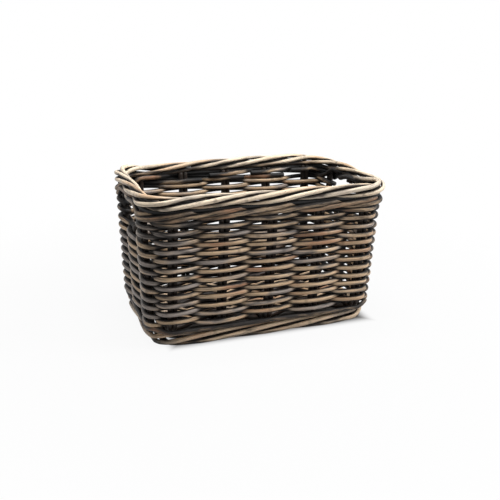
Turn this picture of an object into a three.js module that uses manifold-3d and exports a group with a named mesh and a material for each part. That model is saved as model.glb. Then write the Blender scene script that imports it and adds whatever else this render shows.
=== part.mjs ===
// A rectangular bicycle basket woven by hand from whole rattan rods, in millimetres.
// The origin is the foot's centre on the ground, +X runs along the basket, -Y is the front and +Z is up.
// Double stakes bend up out of the floor, a ring sets them, single rods are woven round them, a wale locks
// the weave, and twisted borders finish the rim and the foot. Both end walls leave a hand hole under the wale.
import * as THREE from "three";
import { mergeVertices } from "three/addons/utils/BufferGeometryUtils.js";
import Module from "manifold-3d";

// Whole basket
const RIM_LENGTH = 400;
const RIM_WIDTH = 250;
const FOOT_LENGTH = 371;
const FOOT_WIDTH = 210;
const HEIGHT = 238;

// Rods
const STAKE_DIAMETER = 7.5;
const WEAVER_DIAMETER = 6.6;
const RIM_STRAND_DIAMETER = 7.4;
const RIM_CORE_DIAMETER = 5.2;
const FOOT_STRAND_DIAMETER = 7;
const ROD_GAP = 0.3;
const STRAND_GAP = 0.6;
const ROD_END_GAP = 2.4;

// Stakes
const LONG_WALL_STAKES = 5;
const END_WALL_STAKES = 3;
const FOOT_CORNER = 24;
const CROSS_BEND_RADIUS = 8.5;
const LONG_BEND_RADIUS = 20.2;

// Weave
const HOLE_ROWS = 5;
const FIRST_ROW_RISE = 10.8;
const UPSETT_RISE = 4.6;
const UPSETT_OUT = 6.5;
const CORNER_CREST = 1.08;
const CORNER_HOLD = 0.9;
const CORNER_HOLD_SPOTS = [0.28, 0.72];
const WALE_CORNER_HOLD = 0.8;
const WALE_SPREAD = 1.6;
const WALE_INSIDE_RISE = 4.2;
const FLOOR_GAP = 1.2;

// Borders
const RIM_STRANDS = 4;
const RIM_OUTSET = 2.5;
const RIM_PHASE = Math.PI / 4;
const FOOT_STRANDS = 4;
const FOOT_OUTSET = 0;
const FOOT_PHASE = (7 * Math.PI) / 18;
const FOOT_TWIST_HEIGHT = 7.8;
const FOOT_TWIST_LEAN = 0.2;
const FOOT_FLAT = 1.2;
const BASE_RISE = 4.6;
const TWIST_STEPS = 3;

// Facets round each rod
const STAKE_SIDES = 5;
const WEAVER_SIDES = 5;
const RIM_SIDES = 5;
const FOOT_SIDES = 5;

const FULL_TURN = 2 * Math.PI;
const STAKE_RADIUS = STAKE_DIAMETER / 2;
const WEAVER_RADIUS = WEAVER_DIAMETER / 2;
const RIM_STRAND_RADIUS = RIM_STRAND_DIAMETER / 2;
const FOOT_STRAND_RADIUS = FOOT_STRAND_DIAMETER / 2;
const PAIR_OFFSET = (STAKE_DIAMETER + ROD_GAP) / 2;
const STAKES = 2 * (LONG_WALL_STAKES + END_WALL_STAKES);

// How near straight facets between a twist's steps come to its middle line
function facetShare(strands) {
  return Math.cos(Math.PI / (strands * TWIST_STEPS));
}

// The rim's strands lie on its core, and the foot's strands lie on one another
const RIM_TWIST = ((RIM_CORE_DIAMETER + RIM_STRAND_DIAMETER) / 2 + ROD_GAP) / facetShare(RIM_STRANDS);
const RIM_RADIUS = RIM_TWIST + RIM_STRAND_RADIUS;
const RIM_MIDDLE = HEIGHT - RIM_RADIUS;
const FOOT_TWIST =
  (FOOT_STRAND_DIAMETER + STRAND_GAP) / (2 * Math.sin(Math.PI / FOOT_STRANDS) * facetShare(FOOT_STRANDS));
const FOOT_HALF_THICKNESS = FOOT_TWIST + FOOT_STRAND_RADIUS;
const FOOT_HALF_HEIGHT = Math.hypot(FOOT_TWIST_HEIGHT, FOOT_TWIST_LEAN * FOOT_TWIST) + FOOT_STRAND_RADIUS;
const FOOT_MIDDLE = FOOT_HALF_HEIGHT - FOOT_FLAT;
const FOOT_TOP = FOOT_MIDDLE + FOOT_HALF_HEIGHT;

const RIM_HALVES = new THREE.Vector2(RIM_LENGTH / 2 - RIM_RADIUS, RIM_WIDTH / 2 - RIM_RADIUS);
const FOOT_HALVES = new THREE.Vector2(
  FOOT_LENGTH / 2 - FOOT_HALF_THICKNESS,
  FOOT_WIDTH / 2 - FOOT_HALF_THICKNESS,
);
const STAKE_HALVES_LOW = FOOT_HALVES.clone().subScalar(FOOT_OUTSET);
const STAKE_HALVES_HIGH = RIM_HALVES.clone().subScalar(RIM_OUTSET);
const LONG_SPACING = (2 * (STAKE_HALVES_LOW.x - FOOT_CORNER)) / (LONG_WALL_STAKES - 1);
const END_SPACING = (2 * (STAKE_HALVES_LOW.y - FOOT_CORNER)) / (END_WALL_STAKES - 1);

const BASE_LEVEL = FOOT_TOP + BASE_RISE;
const STAKE_TOP = HEIGHT - 2 * RIM_RADIUS - ROD_GAP;
const UPSETT_LEVEL = FOOT_TOP + UPSETT_RISE;
const FIRST_ROW = BASE_LEVEL + FIRST_ROW_RISE;
const WALE_STEP = (WEAVER_DIAMETER + ROD_GAP) / 2;
const WALE_CROSSING = WALE_STEP + WALE_SPREAD;
const WALE_MIDDLE = STAKE_TOP + ROD_GAP - WALE_CROSSING - WEAVER_RADIUS;
const LAST_ROW = WALE_MIDDLE - WALE_CROSSING - WEAVER_DIAMETER - ROD_GAP;
const ROWS = Math.floor((LAST_ROW - FIRST_ROW) / (WEAVER_DIAMETER + ROD_GAP)) + 1;
const ROW_PITCH = (LAST_ROW - FIRST_ROW) / (ROWS - 1);
const FULL_ROWS = ROWS - HOLE_ROWS;

const RATTAN = new THREE.MeshStandardMaterial({ color: 0x96795d, roughness: 0.7, metalness: 0 });
const DARK_RATTAN = new THREE.MeshStandardMaterial({ color: 0x5b4636, roughness: 0.75, metalness: 0 });
const PALE_RATTAN = new THREE.MeshStandardMaterial({ color: 0xc9ad8b, roughness: 0.65, metalness: 0 });

// Kinds of rod
const STAKE = { diameter: STAKE_DIAMETER, sides: STAKE_SIDES, material: DARK_RATTAN };
const WEAVER = { diameter: WEAVER_DIAMETER, sides: WEAVER_SIDES, material: RATTAN };
const RIM_STRAND = { diameter: RIM_STRAND_DIAMETER, sides: RIM_SIDES, material: PALE_RATTAN };
const RIM_CORE = { diameter: RIM_CORE_DIAMETER, sides: RIM_SIDES, material: DARK_RATTAN };
const FOOT_STRAND = { diameter: FOOT_STRAND_DIAMETER, sides: FOOT_SIDES, material: DARK_RATTAN };

// Straight runs between chosen points. A step of the sweep falls on each point,
// and the section there lies on the line that halves the corner.
class RodPath extends THREE.Curve {
  constructor(points) {
    super();
    this.points = points;
  }

  getPoint(t, target = new THREE.Vector3()) {
    const along = t * (this.points.length - 1);
    const from = Math.min(Math.floor(along), this.points.length - 2);
    return target.lerpVectors(this.points[from], this.points[from + 1], along - from);
  }

  getTangent(t, target = new THREE.Vector3()) {
    const last = this.points.length - 1;
    const at = Math.round(t * last);
    const into = this.direction(Math.max(at - 1, 0));
    const outOf = this.direction(Math.min(at, last - 1));
    return target.addVectors(into, outOf).normalize();
  }

  direction(segment) {
    return new THREE.Vector3().subVectors(this.points[segment + 1], this.points[segment]).normalize();
  }

  getUtoTmapping(u) {
    return u;
  }
}

const basket = new THREE.Group();

function rodGeometry(points, kind) {
  const corners = Array.from({ length: kind.sides }, (_, i) => {
    const angle = (FULL_TURN * i) / kind.sides;
    return new THREE.Vector2(Math.cos(angle), Math.sin(angle)).multiplyScalar(kind.diameter / 2);
  });
  return new THREE.ExtrudeGeometry(new THREE.Shape(corners), {
    steps: points.length - 1,
    extrudePath: new RodPath(points),
  });
}

function addMesh(name, geometry, material) {
  const mesh = new THREE.Mesh(geometry, material);
  mesh.name = name;
  basket.add(mesh);
}

function addRod(name, points, kind) {
  addMesh(name, rodGeometry(points, kind), kind.material);
}

// Half sizes of the surface in which the stakes stand, at a height
function stakeHalves(z) {
  return new THREE.Vector2().lerpVectors(STAKE_HALVES_LOW, STAKE_HALVES_HIGH, z / HEIGHT);
}

// The stakes in order from the front's left end, counter-clockwise seen from above
function wallStakes(count, spacing, along, normal) {
  return Array.from({ length: count }, (_, i) => ({
    along: along.clone().multiplyScalar(spacing * (i - (count - 1) / 2)),
    normal,
  }));
}

const RIGHT = new THREE.Vector2(1, 0);
const BACK = new THREE.Vector2(0, 1);
const LEFT = new THREE.Vector2(-1, 0);
const FRONT = new THREE.Vector2(0, -1);
const STAKE_SPOTS = [
  ...wallStakes(LONG_WALL_STAKES, LONG_SPACING, RIGHT, FRONT),
  ...wallStakes(END_WALL_STAKES, END_SPACING, BACK, RIGHT),
  ...wallStakes(LONG_WALL_STAKES, LONG_SPACING, LEFT, BACK),
  ...wallStakes(END_WALL_STAKES, END_SPACING, FRONT, LEFT),
];
const RIGHT_EDGE = LONG_WALL_STAKES;
const FIRST_BACK_STAKE = LONG_WALL_STAKES + END_WALL_STAKES;
const LEFT_EDGE = STAKES - END_WALL_STAKES;

function stakeSpot(index, halves) {
  const spot = STAKE_SPOTS[((index % STAKES) + STAKES) % STAKES];
  return { at: spot.normal.clone().multiply(halves).add(spot.along), normal: spot.normal };
}

function isCorner(index) {
  return stakeSpot(index, RIM_HALVES).normal !== stakeSpot(index + 1, RIM_HALVES).normal;
}

// A point of the wall: turn counts stakes round the basket, and out is its distance outside the middle
// surface, which is a quarter of an ellipse between two walls.
function wallPoint(turn, out, z, halves = stakeHalves(z)) {
  const index = Math.floor(turn);
  const part = turn - index;
  const from = stakeSpot(index, halves);
  const to = stakeSpot(index + 1, halves);
  const at = new THREE.Vector2();
  const normal = new THREE.Vector2();
  if (isCorner(index)) {
    const cosine = Math.cos((part * Math.PI) / 2);
    const sine = Math.sin((part * Math.PI) / 2);
    const reach = from.at.clone().sub(to.at);
    const fromAxis = from.normal.clone().multiplyScalar(Math.abs(from.normal.dot(reach)));
    const toAxis = to.normal.clone().multiplyScalar(Math.abs(to.normal.dot(reach)));
    at.copy(from.at).sub(fromAxis);
    at.addScaledVector(fromAxis, cosine).addScaledVector(toAxis, sine);
    normal.addScaledVector(from.normal, cosine * toAxis.length());
    normal.addScaledVector(to.normal, sine * fromAxis.length()).normalize();
  } else {
    at.lerpVectors(from.at, to.at, part);
    normal.copy(from.normal);
  }
  at.addScaledVector(normal, out);
  return new THREE.Vector3(at.x, at.y, z);
}

// How far a zigzag rod stands off the stakes' middle, so that it clears both rods of a pair
function crest(clearance, spacing) {
  return (clearance + ROD_GAP) / (1 - (2 * PAIR_OFFSET) / spacing);
}

const WEAVE_CREST = crest(STAKE_RADIUS + WEAVER_RADIUS, END_SPACING);
const BASE_CREST = crest(STAKE_DIAMETER, LONG_SPACING);
const EDGE_TURN = (STAKE_RADIUS + WEAVER_RADIUS + ROD_GAP) / Math.cos(Math.PI / 6);

// Four spots of a tight turn round the last rod of a pair: sideways past the pair, and off its middle
const TURN_SPOTS = [90, 30, -30, -90].map((degrees, i) => {
  const angle = THREE.MathUtils.degToRad(degrees);
  return {
    past: PAIR_OFFSET + EDGE_TURN * Math.cos(angle),
    off: EDGE_TURN * Math.sin(angle),
    climb: i / 3,
  };
});

function rowHeight(row) {
  return FIRST_ROW + row * ROW_PITCH;
}

// Rods of neighbouring rows pass a stake on opposite sides
function rowSide(stake, row) {
  return (stake + row) % 2 === 0 ? -1 : 1;
}

function rowCrest(stake) {
  const besideCorner = isCorner(stake) || isCorner(stake - 1);
  return besideCorner ? CORNER_CREST * WEAVE_CREST : WEAVE_CREST;
}

// One row's spots from one stake to a later one, with two more spots round each corner
function rowPoints(row, firstStake, lastStake) {
  const z = rowHeight(row);
  const points = [];
  for (let stake = firstStake; stake <= lastStake; stake += 1) {
    points.push(wallPoint(stake, rowSide(stake, row) * rowCrest(stake), z));
    if (stake < lastStake && isCorner(stake)) {
      CORNER_HOLD_SPOTS.forEach((part, i) => {
        const out = CORNER_HOLD * rowSide(stake + i, row) * rowCrest(stake + i);
        points.push(wallPoint(stake + part, out, z));
      });
    }
  }
  return points;
}

// Shortens both ends of a rod that comes back to where it started
function trimEnds(points, length) {
  const last = points.length - 1;
  const trimmed = points.map((point) => point.clone());
  trimmed[0].add(points[1].clone().sub(points[0]).setLength(length));
  trimmed[last].add(points[last - 1].clone().sub(points[last]).setLength(length));
  return trimmed;
}

// A plain ring round the basket whose ends meet at a stake of the back wall
function ringPoints(out, z, halves) {
  const first = FIRST_BACK_STAKE + 2;
  const last = first + STAKES;
  const points = [];
  for (let stake = first; stake <= last; stake += 1) {
    if (stake === first || stake === last || isCorner(stake) || isCorner(stake - 1)) {
      points.push(wallPoint(stake, out, z, halves));
    }
    for (let step = 1; isCorner(stake) && step < TWIST_STEPS; step += 1) {
      points.push(wallPoint(stake + step / TWIST_STEPS, out, z, halves));
    }
  }
  return trimEnds(points, ROD_END_GAP / 2);
}

// The ring that sets the stakes upright lies outside their bends, on the foot and under the first row
function addUpsettRing() {
  addRod("upsett_ring", ringPoints(UPSETT_OUT, UPSETT_LEVEL), WEAVER);
}

// Each full row is one rod whose ends meet on the inside of a stake of the back wall
function addFullRows() {
  const backStake = FIRST_BACK_STAKE + 1;
  for (let row = 0; row < FULL_ROWS; row += 1) {
    const first = rowSide(backStake, row) < 0 ? backStake : backStake + 1;
    const points = trimEnds(rowPoints(row, first, first + STAKES), ROD_END_GAP / 2);
    addRod(`weaver_row_${row + 1}`, points, WEAVER);
  }
}

// Beside the hand holes one long rod runs to and fro, turning round the stakes at the holes' edges
function holePoints(firstStake, lastStake) {
  const points = [];
  for (let row = FULL_ROWS; row < ROWS; row += 1) {
    const forwards = (row - FULL_ROWS) % 2 === 0;
    const way = forwards ? 1 : -1;
    const [begin, end] = forwards ? [firstStake, lastStake] : [lastStake, firstStake];
    const inner = rowPoints(row, firstStake, lastStake).slice(1, -1);
    const startPast = row === FULL_ROWS ? -PAIR_OFFSET : PAIR_OFFSET;
    points.push(edgePoint(begin, way * startPast, rowSide(begin, row) * EDGE_TURN, row));
    points.push(...(forwards ? inner : inner.reverse()));
    points.push(edgePoint(end, -way * PAIR_OFFSET, rowSide(end, row) * EDGE_TURN, row));
    const turn = row < ROWS - 1 ? TURN_SPOTS : TURN_SPOTS.slice(0, 1);
    for (const { past, off, climb } of turn) {
      points.push(edgePoint(end, way * past, rowSide(end, row) * off, row + climb));
    }
  }
  return points;
}

function edgePoint(stake, past, out, row) {
  return wallPoint(stake + past / END_SPACING, out, rowHeight(row));
}

function addHoleRows() {
  addRod("hole_weaver_front", holePoints(STAKES - 1, STAKES + RIGHT_EDGE), WEAVER);
  addRod("hole_weaver_back", holePoints(RIGHT_EDGE + END_WALL_STAKES - 1, LEFT_EDGE), WEAVER);
}

// The wale's rods pass behind one stake and in front of two, climbing on the outside
function addTopWale() {
  const spots = [
    { out: -WEAVE_CREST, rise: WALE_INSIDE_RISE },
    { out: WEAVE_CREST, rise: -WALE_STEP },
    { out: WEAVE_CREST, rise: WALE_STEP },
  ];
  const between = [
    { out: 0, rise: -WALE_CROSSING },
    { out: WEAVE_CREST, rise: 0 },
    { out: 0, rise: WALE_CROSSING },
  ];
  const strokes = spots.length;
  const span = STAKES - (STAKES % strokes);
  for (let rod = 0; rod < strokes; rod += 1) {
    const first = FIRST_BACK_STAKE + 1 + rod;
    const points = [];
    for (let step = 0; step <= span; step += 1) {
      const at = spots[step % strokes];
      const next = spots[(step + 1) % strokes];
      const middle = between[step % strokes];
      const endRise = step === 0 ? -WALE_STEP : step === span ? WALE_STEP : at.rise;
      points.push(wallPoint(first + step, at.out, WALE_MIDDLE + endRise));
      if (step < span) {
        const quarters = isCorner(first + step);
        if (quarters) {
          points.push(walePoint(first + step + 0.25, at, middle));
        }
        points.push(wallPoint(first + step + 0.5, middle.out, WALE_MIDDLE + middle.rise));
        if (quarters) {
          points.push(walePoint(first + step + 0.75, next, middle));
        }
      }
    }
    addRod(`top_wale_${rod + 1}`, points, WEAVER);
  }
}

// A spot between a stake and a corner's middle, where the rod still keeps to its side of the stake
function walePoint(turn, stake, middle) {
  const out = THREE.MathUtils.lerp(middle.out, CORNER_CREST * stake.out, WALE_CORNER_HOLD);
  return wallPoint(turn, out, WALE_MIDDLE + (stake.rise + middle.rise) / 2);
}

// A quarter bend from the floor up into a wall, in the plane of reach and height
function floorBend(reach, floor, radius, parts) {
  return Array.from({ length: parts + 1 }, (_, i) => {
    const angle = (Math.PI / 2) * (i / parts);
    return new THREE.Vector2(
      reach - radius * (1 - Math.sin(angle)),
      floor + radius * (1 - Math.cos(angle)),
    );
  });
}

// Rods that run up the front wall, across under the floor's weave and up the back wall
function addCrossStakes() {
  const wallFoot = BASE_LEVEL + CROSS_BEND_RADIUS;
  const bend = floorBend(stakeHalves(wallFoot).y, BASE_LEVEL, CROSS_BEND_RADIUS, 3);
  bend.push(new THREE.Vector2(stakeHalves(STAKE_TOP).y, STAKE_TOP));
  for (let pair = 0; pair < LONG_WALL_STAKES; pair += 1) {
    for (const [side, name] of [[-1, "left"], [1, "right"]]) {
      const x = LONG_SPACING * (pair - (LONG_WALL_STAKES - 1) / 2) + side * PAIR_OFFSET;
      const back = bend.map(({ x: reach, y: z }) => new THREE.Vector3(x, reach, z));
      const front = bend.map(({ x: reach, y: z }) => new THREE.Vector3(x, -reach, z));
      addRod(`cross_stake_${pair + 1}_${name}`, [...front.reverse(), ...back], STAKE);
    }
  }
}

// Rods that run along the floor, under and over the cross stakes, and up both end walls.
// The middle pair is cut off at the hand holes' lower edges.
function addLongStakes() {
  const low = BASE_LEVEL - BASE_CREST;
  const wallFoot = low + LONG_BEND_RADIUS;
  const bend = floorBend(stakeHalves(wallFoot).x, low, LONG_BEND_RADIUS, 4);
  const middlePair = (END_WALL_STAKES - 1) / 2;
  const outerPair = (LONG_WALL_STAKES - 1) / 2;
  const holeFloor = rowHeight(FULL_ROWS - 1) + WEAVER_RADIUS;
  for (let pair = 0; pair < END_WALL_STAKES; pair += 1) {
    const top = pair === middlePair ? holeFloor : STAKE_TOP;
    const rise = [...bend, new THREE.Vector2(stakeHalves(top).x, top)];
    for (const [side, name] of [[-1, "front"], [1, "back"]]) {
      const y = END_SPACING * (pair - middlePair) + side * PAIR_OFFSET;
      const left = rise.map(({ x: reach, y: z }) => new THREE.Vector3(-reach, y, z)).reverse();
      const right = rise.map(({ x: reach, y: z }) => new THREE.Vector3(reach, y, z));
      const floor = [];
      for (let cross = -outerPair; cross <= outerPair; cross += 1) {
        const z = BASE_LEVEL + (cross % 2 === 0 ? -BASE_CREST : BASE_CREST);
        if (LONG_SPACING * Math.abs(cross) < bend[0].x) {
          floor.push(new THREE.Vector3(LONG_SPACING * cross, y, z));
        }
      }
      addRod(`long_stake_${pair + 1}_${name}`, [...left, ...floor, ...right], STAKE);
    }
  }
}

// The cut-off tops of the middle end stakes stay in the wale above the hand holes
function addHoleStubs() {
  const low = WALE_MIDDLE - WALE_CROSSING;
  for (const [end, endName] of [[-1, "left"], [1, "right"]]) {
    for (const [side, name] of [[-1, "front"], [1, "back"]]) {
      const points = [low, STAKE_TOP].map((z) => {
        return new THREE.Vector3(end * stakeHalves(z).x, side * PAIR_OFFSET, z);
      });
      addRod(`stub_${endName}_${name}`, points, STAKE);
    }
  }
}

// In each bay of the floor one rod runs to and fro over and under the cross stakes,
// turning round the outer ones
function addBaseWeavers() {
  const edge = PAIR_OFFSET + STAKE_RADIUS + WEAVER_RADIUS + ROD_GAP;
  const width = END_SPACING - 2 * edge;
  const passes = Math.floor(width / (WEAVER_DIAMETER + FLOOR_GAP)) + 1;
  const pitch = width / (passes - 1);
  const outerPair = (LONG_WALL_STAKES - 1) / 2;
  const side = (cross, pass) => ((cross + pass) % 2 === 0 ? 1 : -1);
  for (const [bay, name] of [[-1, "front"], [1, "back"]]) {
    const points = [];
    const add = (x, pass, off) => {
      points.push(new THREE.Vector3(x, bay * (edge + pass * pitch), BASE_LEVEL + off));
    };
    for (let pass = 0; pass < passes; pass += 1) {
      const way = pass % 2 === 0 ? 1 : -1;
      const outerX = LONG_SPACING * outerPair;
      add(-way * (outerX - PAIR_OFFSET), pass, side(outerPair, pass) * EDGE_TURN);
      for (let cross = 1 - outerPair; cross <= outerPair - 1; cross += 1) {
        add(way * LONG_SPACING * cross, pass, side(cross, pass) * WEAVE_CREST);
      }
      add(way * (outerX - PAIR_OFFSET), pass, side(outerPair, pass) * EDGE_TURN);
      const turn = pass < passes - 1 ? TURN_SPOTS : TURN_SPOTS.slice(0, 1);
      for (const { past, off, climb } of turn) {
        add(way * (outerX + past), pass + climb, side(outerPair, pass) * off);
      }
    }
    addRod(`base_weaver_${name}`, points, WEAVER);
  }
}

// A strand of a twisted border: with each stake passed counter-clockwise it turns one strand's place,
// from the outside over the top to the inside.
function twistPoints(border, strand, firstStake) {
  const steps = STAKES * TWIST_STEPS;
  const points = [];
  for (let step = 0; step <= steps; step += 1) {
    const turn = firstStake + step / TWIST_STEPS;
    const angle = (FULL_TURN * (turn + strand)) / border.strands + border.phase;
    const out = border.halfWidth * Math.cos(angle);
    const z = border.middle + border.halfHeight * Math.sin(angle) + border.lean * out;
    points.push(wallPoint(turn, out, z, border.halves));
  }
  return trimEnds(points, ROD_END_GAP / 2);
}

// Each rim strand's ends meet at the bottom of the twist, below a stake of the back wall. A core fills the twist.
function addRimBorder() {
  const border = {
    strands: RIM_STRANDS,
    phase: RIM_PHASE,
    middle: RIM_MIDDLE,
    halves: RIM_HALVES,
    halfWidth: RIM_TWIST,
    halfHeight: RIM_TWIST,
    lean: 0,
  };
  const lastBackStake = LEFT_EDGE - 1;
  for (let strand = 0; strand < RIM_STRANDS; strand += 1) {
    const points = twistPoints(border, strand, lastBackStake - 1 - strand);
    addRod(`rim_strand_${strand + 1}`, points, RIM_STRAND);
  }
  addRod("rim_core", ringPoints(0, RIM_MIDDLE, RIM_HALVES), RIM_CORE);
}

const wasm = await Module();
wasm.setup();

function toSolid(geometry) {
  const bare = geometry.clone();
  bare.deleteAttribute("normal");
  bare.deleteAttribute("uv");
  const merged = mergeVertices(bare, 1e-3);
  return new wasm.Manifold(new wasm.Mesh({
    numProp: 3,
    vertProperties: new Float32Array(merged.attributes.position.array),
    triVerts: new Uint32Array(merged.index.array),
  }));
}

function toGeometry(solid) {
  const mesh = solid.getMesh();
  const geometry = new THREE.BufferGeometry();
  geometry.setAttribute("position", new THREE.BufferAttribute(mesh.vertProperties, 3));
  geometry.setIndex(new THREE.BufferAttribute(mesh.triVerts, 1));
  return geometry;
}

// The foot's strands are worn flat where they stand on the ground, and their ends meet on the inside
function addFootBorder() {
  const border = {
    strands: FOOT_STRANDS,
    phase: FOOT_PHASE,
    middle: FOOT_MIDDLE,
    halves: FOOT_HALVES,
    halfWidth: FOOT_TWIST,
    halfHeight: FOOT_TWIST_HEIGHT,
    lean: FOOT_TWIST_LEAN,
  };
  const ground = new THREE.BoxGeometry(2 * FOOT_LENGTH, 2 * FOOT_WIDTH, HEIGHT);
  ground.translate(0, 0, -HEIGHT / 2);
  const groundSolid = toSolid(ground);
  for (let strand = 0; strand < FOOT_STRANDS; strand += 1) {
    const places = (FOOT_STRANDS - strand) % FOOT_STRANDS;
    const points = twistPoints(border, strand, FIRST_BACK_STAKE + 1 + places);
    const round = toSolid(rodGeometry(points, FOOT_STRAND));
    const standing = toGeometry(round.subtract(groundSolid));
    addMesh(`foot_strand_${strand + 1}`, standing, FOOT_STRAND.material);
  }
}

addCrossStakes();
addLongStakes();
addHoleStubs();
addBaseWeavers();
addUpsettRing();
addFullRows();
addHoleRows();
addTopWale();
addRimBorder();
addFootBorder();

export default basket;
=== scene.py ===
"""Looks of a rectangular bicycle basket that is woven by hand from whole rattan rods.

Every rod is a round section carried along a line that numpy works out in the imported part's own frame.
Lengths are in millimetres until a mesh is made, and in metres in the mesh.
"""

import logging
import math
from dataclasses import dataclass
from enum import Enum
from typing import NamedTuple, Optional, Union

import bpy
import numpy as np
from mathutils import Matrix, Vector
from numpy.typing import NDArray

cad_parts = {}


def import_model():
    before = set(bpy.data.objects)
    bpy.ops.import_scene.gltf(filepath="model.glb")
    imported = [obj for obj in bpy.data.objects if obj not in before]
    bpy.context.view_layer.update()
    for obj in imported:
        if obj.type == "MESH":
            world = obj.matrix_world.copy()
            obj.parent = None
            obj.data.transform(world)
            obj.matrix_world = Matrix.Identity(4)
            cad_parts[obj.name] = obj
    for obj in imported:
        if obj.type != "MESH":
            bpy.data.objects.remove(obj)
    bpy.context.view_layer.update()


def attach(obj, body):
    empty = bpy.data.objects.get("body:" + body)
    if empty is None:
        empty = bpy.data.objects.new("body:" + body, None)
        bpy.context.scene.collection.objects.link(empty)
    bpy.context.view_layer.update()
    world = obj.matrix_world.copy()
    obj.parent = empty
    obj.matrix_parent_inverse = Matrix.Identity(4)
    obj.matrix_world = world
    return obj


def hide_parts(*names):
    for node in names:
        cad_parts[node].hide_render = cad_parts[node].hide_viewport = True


Array = NDArray[np.float64]
Triple = tuple[float, float, float]
Colour = Triple
Socket = bpy.types.NodeSocket
Input = Union[Socket, float, Colour]

LOG = logging.getLogger("basket")
MM = 0.001
TAU = 2.0 * math.pi
WHITE: Colour = (1.0, 1.0, 1.0)
HALF_TURN_SPOTS = 15
SEED = 20
SRGB_KNEE = 0.04045
SRGB_SLOPE = 12.92
SRGB_OFFSET = 0.055
SRGB_POWER = 2.4


class Steady(Enum):
    """Direction that keeps a rod's section from turning about its own line."""

    ALONG = (1.0, 0.0, 0.0)
    ACROSS = (0.0, 1.0, 0.0)
    UP = (0.0, 0.0, 1.0)


class Slot(Enum):
    """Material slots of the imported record."""

    WEAVER = "weaver_rattan"
    STAKE = "stake_rattan"
    RIM = "rim_rattan"
    FOOT = "foot_rattan"


class Bell(NamedTuple):
    """A bell-shaped bulge round the basket: its place, counted in stakes, its height and its width."""

    place: float
    height: float
    width: float


def srgb(red: int, green: int, blue: int) -> Colour:
    """Linear colour of a screen colour, by the standard curve: straight below its knee and a power above.

    Args:
        red: Red from 0 to 255.
        green: Green from 0 to 255.
        blue: Blue from 0 to 255.

    Returns:
        The colour in linear light.
    """
    share = np.array([red, green, blue]) / 255.0
    curved = ((share + SRGB_OFFSET) / (1.0 + SRGB_OFFSET)) ** SRGB_POWER
    linear = np.where(share <= SRGB_KNEE, share / SRGB_SLOPE, curved)
    return float(linear[0]), float(linear[1]), float(linear[2])


def smoothstep(low: float, high: float, value: Array) -> Array:
    """Zero below low, one above high, and the cubic 3t^2 - 2t^3 between them.

    Args:
        low: Where the rise starts.
        high: Where the rise ends.
        value: Values to turn into shares.

    Returns:
        Shares from 0 to 1.
    """
    share = np.clip((value - low) / (high - low), 0.0, 1.0)
    return share * share * (3.0 - 2.0 * share)


def unit(vectors: Array) -> Array:
    """Rows of an array at a length of one."""
    return vectors / np.linalg.norm(vectors, axis=-1, keepdims=True)


def wander(along: Array, spacing: float, rng: np.random.Generator) -> Array:
    """Smooth random values along a line: normal numbers at even spots, eased from one to the next.

    Args:
        along: Distance along the line.
        spacing: Distance between the random spots.
        rng: Source of the random numbers.

    Returns:
        One value for each distance, with a spread of about one.
    """
    spot = along / spacing
    first = np.floor(spot).astype(int)
    first = first - first.min()
    values = rng.normal(size=first.max() + 2)
    ease = smoothstep(0.0, 1.0, spot - np.floor(spot))
    return values[first] * (1.0 - ease) + values[first + 1] * ease


def bells(turn: Array, places: tuple[Bell, ...], stakes: int) -> Array:
    """Sum of bells round the basket, each height exp(-((turn - place) / width)^2 / 2).

    Args:
        turn: Place round the basket, counted in stakes.
        places: The bells.
        stakes: Stakes in a full turn.

    Returns:
        One sum for each place round the basket.
    """
    place, height, width = np.array(places).T
    away = (turn[:, None] - place + stakes / 2.0) % stakes - stakes / 2.0
    return np.sum(height * np.exp(-0.5 * (away / width) ** 2), axis=1)


def half_turn(radius: float) -> tuple[Array, Array, Array]:
    """Half circle in which a rod turns back.

    Args:
        radius: Radius of the half circle.

    Returns:
        The reach past the edge, the distance aside and the climb from 0 to 1 of each spot.
    """
    angle = np.linspace(math.pi / 2.0, -math.pi / 2.0, HALF_TURN_SPOTS)
    return radius * np.cos(angle), radius * np.sin(angle), np.linspace(0.0, 1.0, HALF_TURN_SPOTS)


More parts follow.
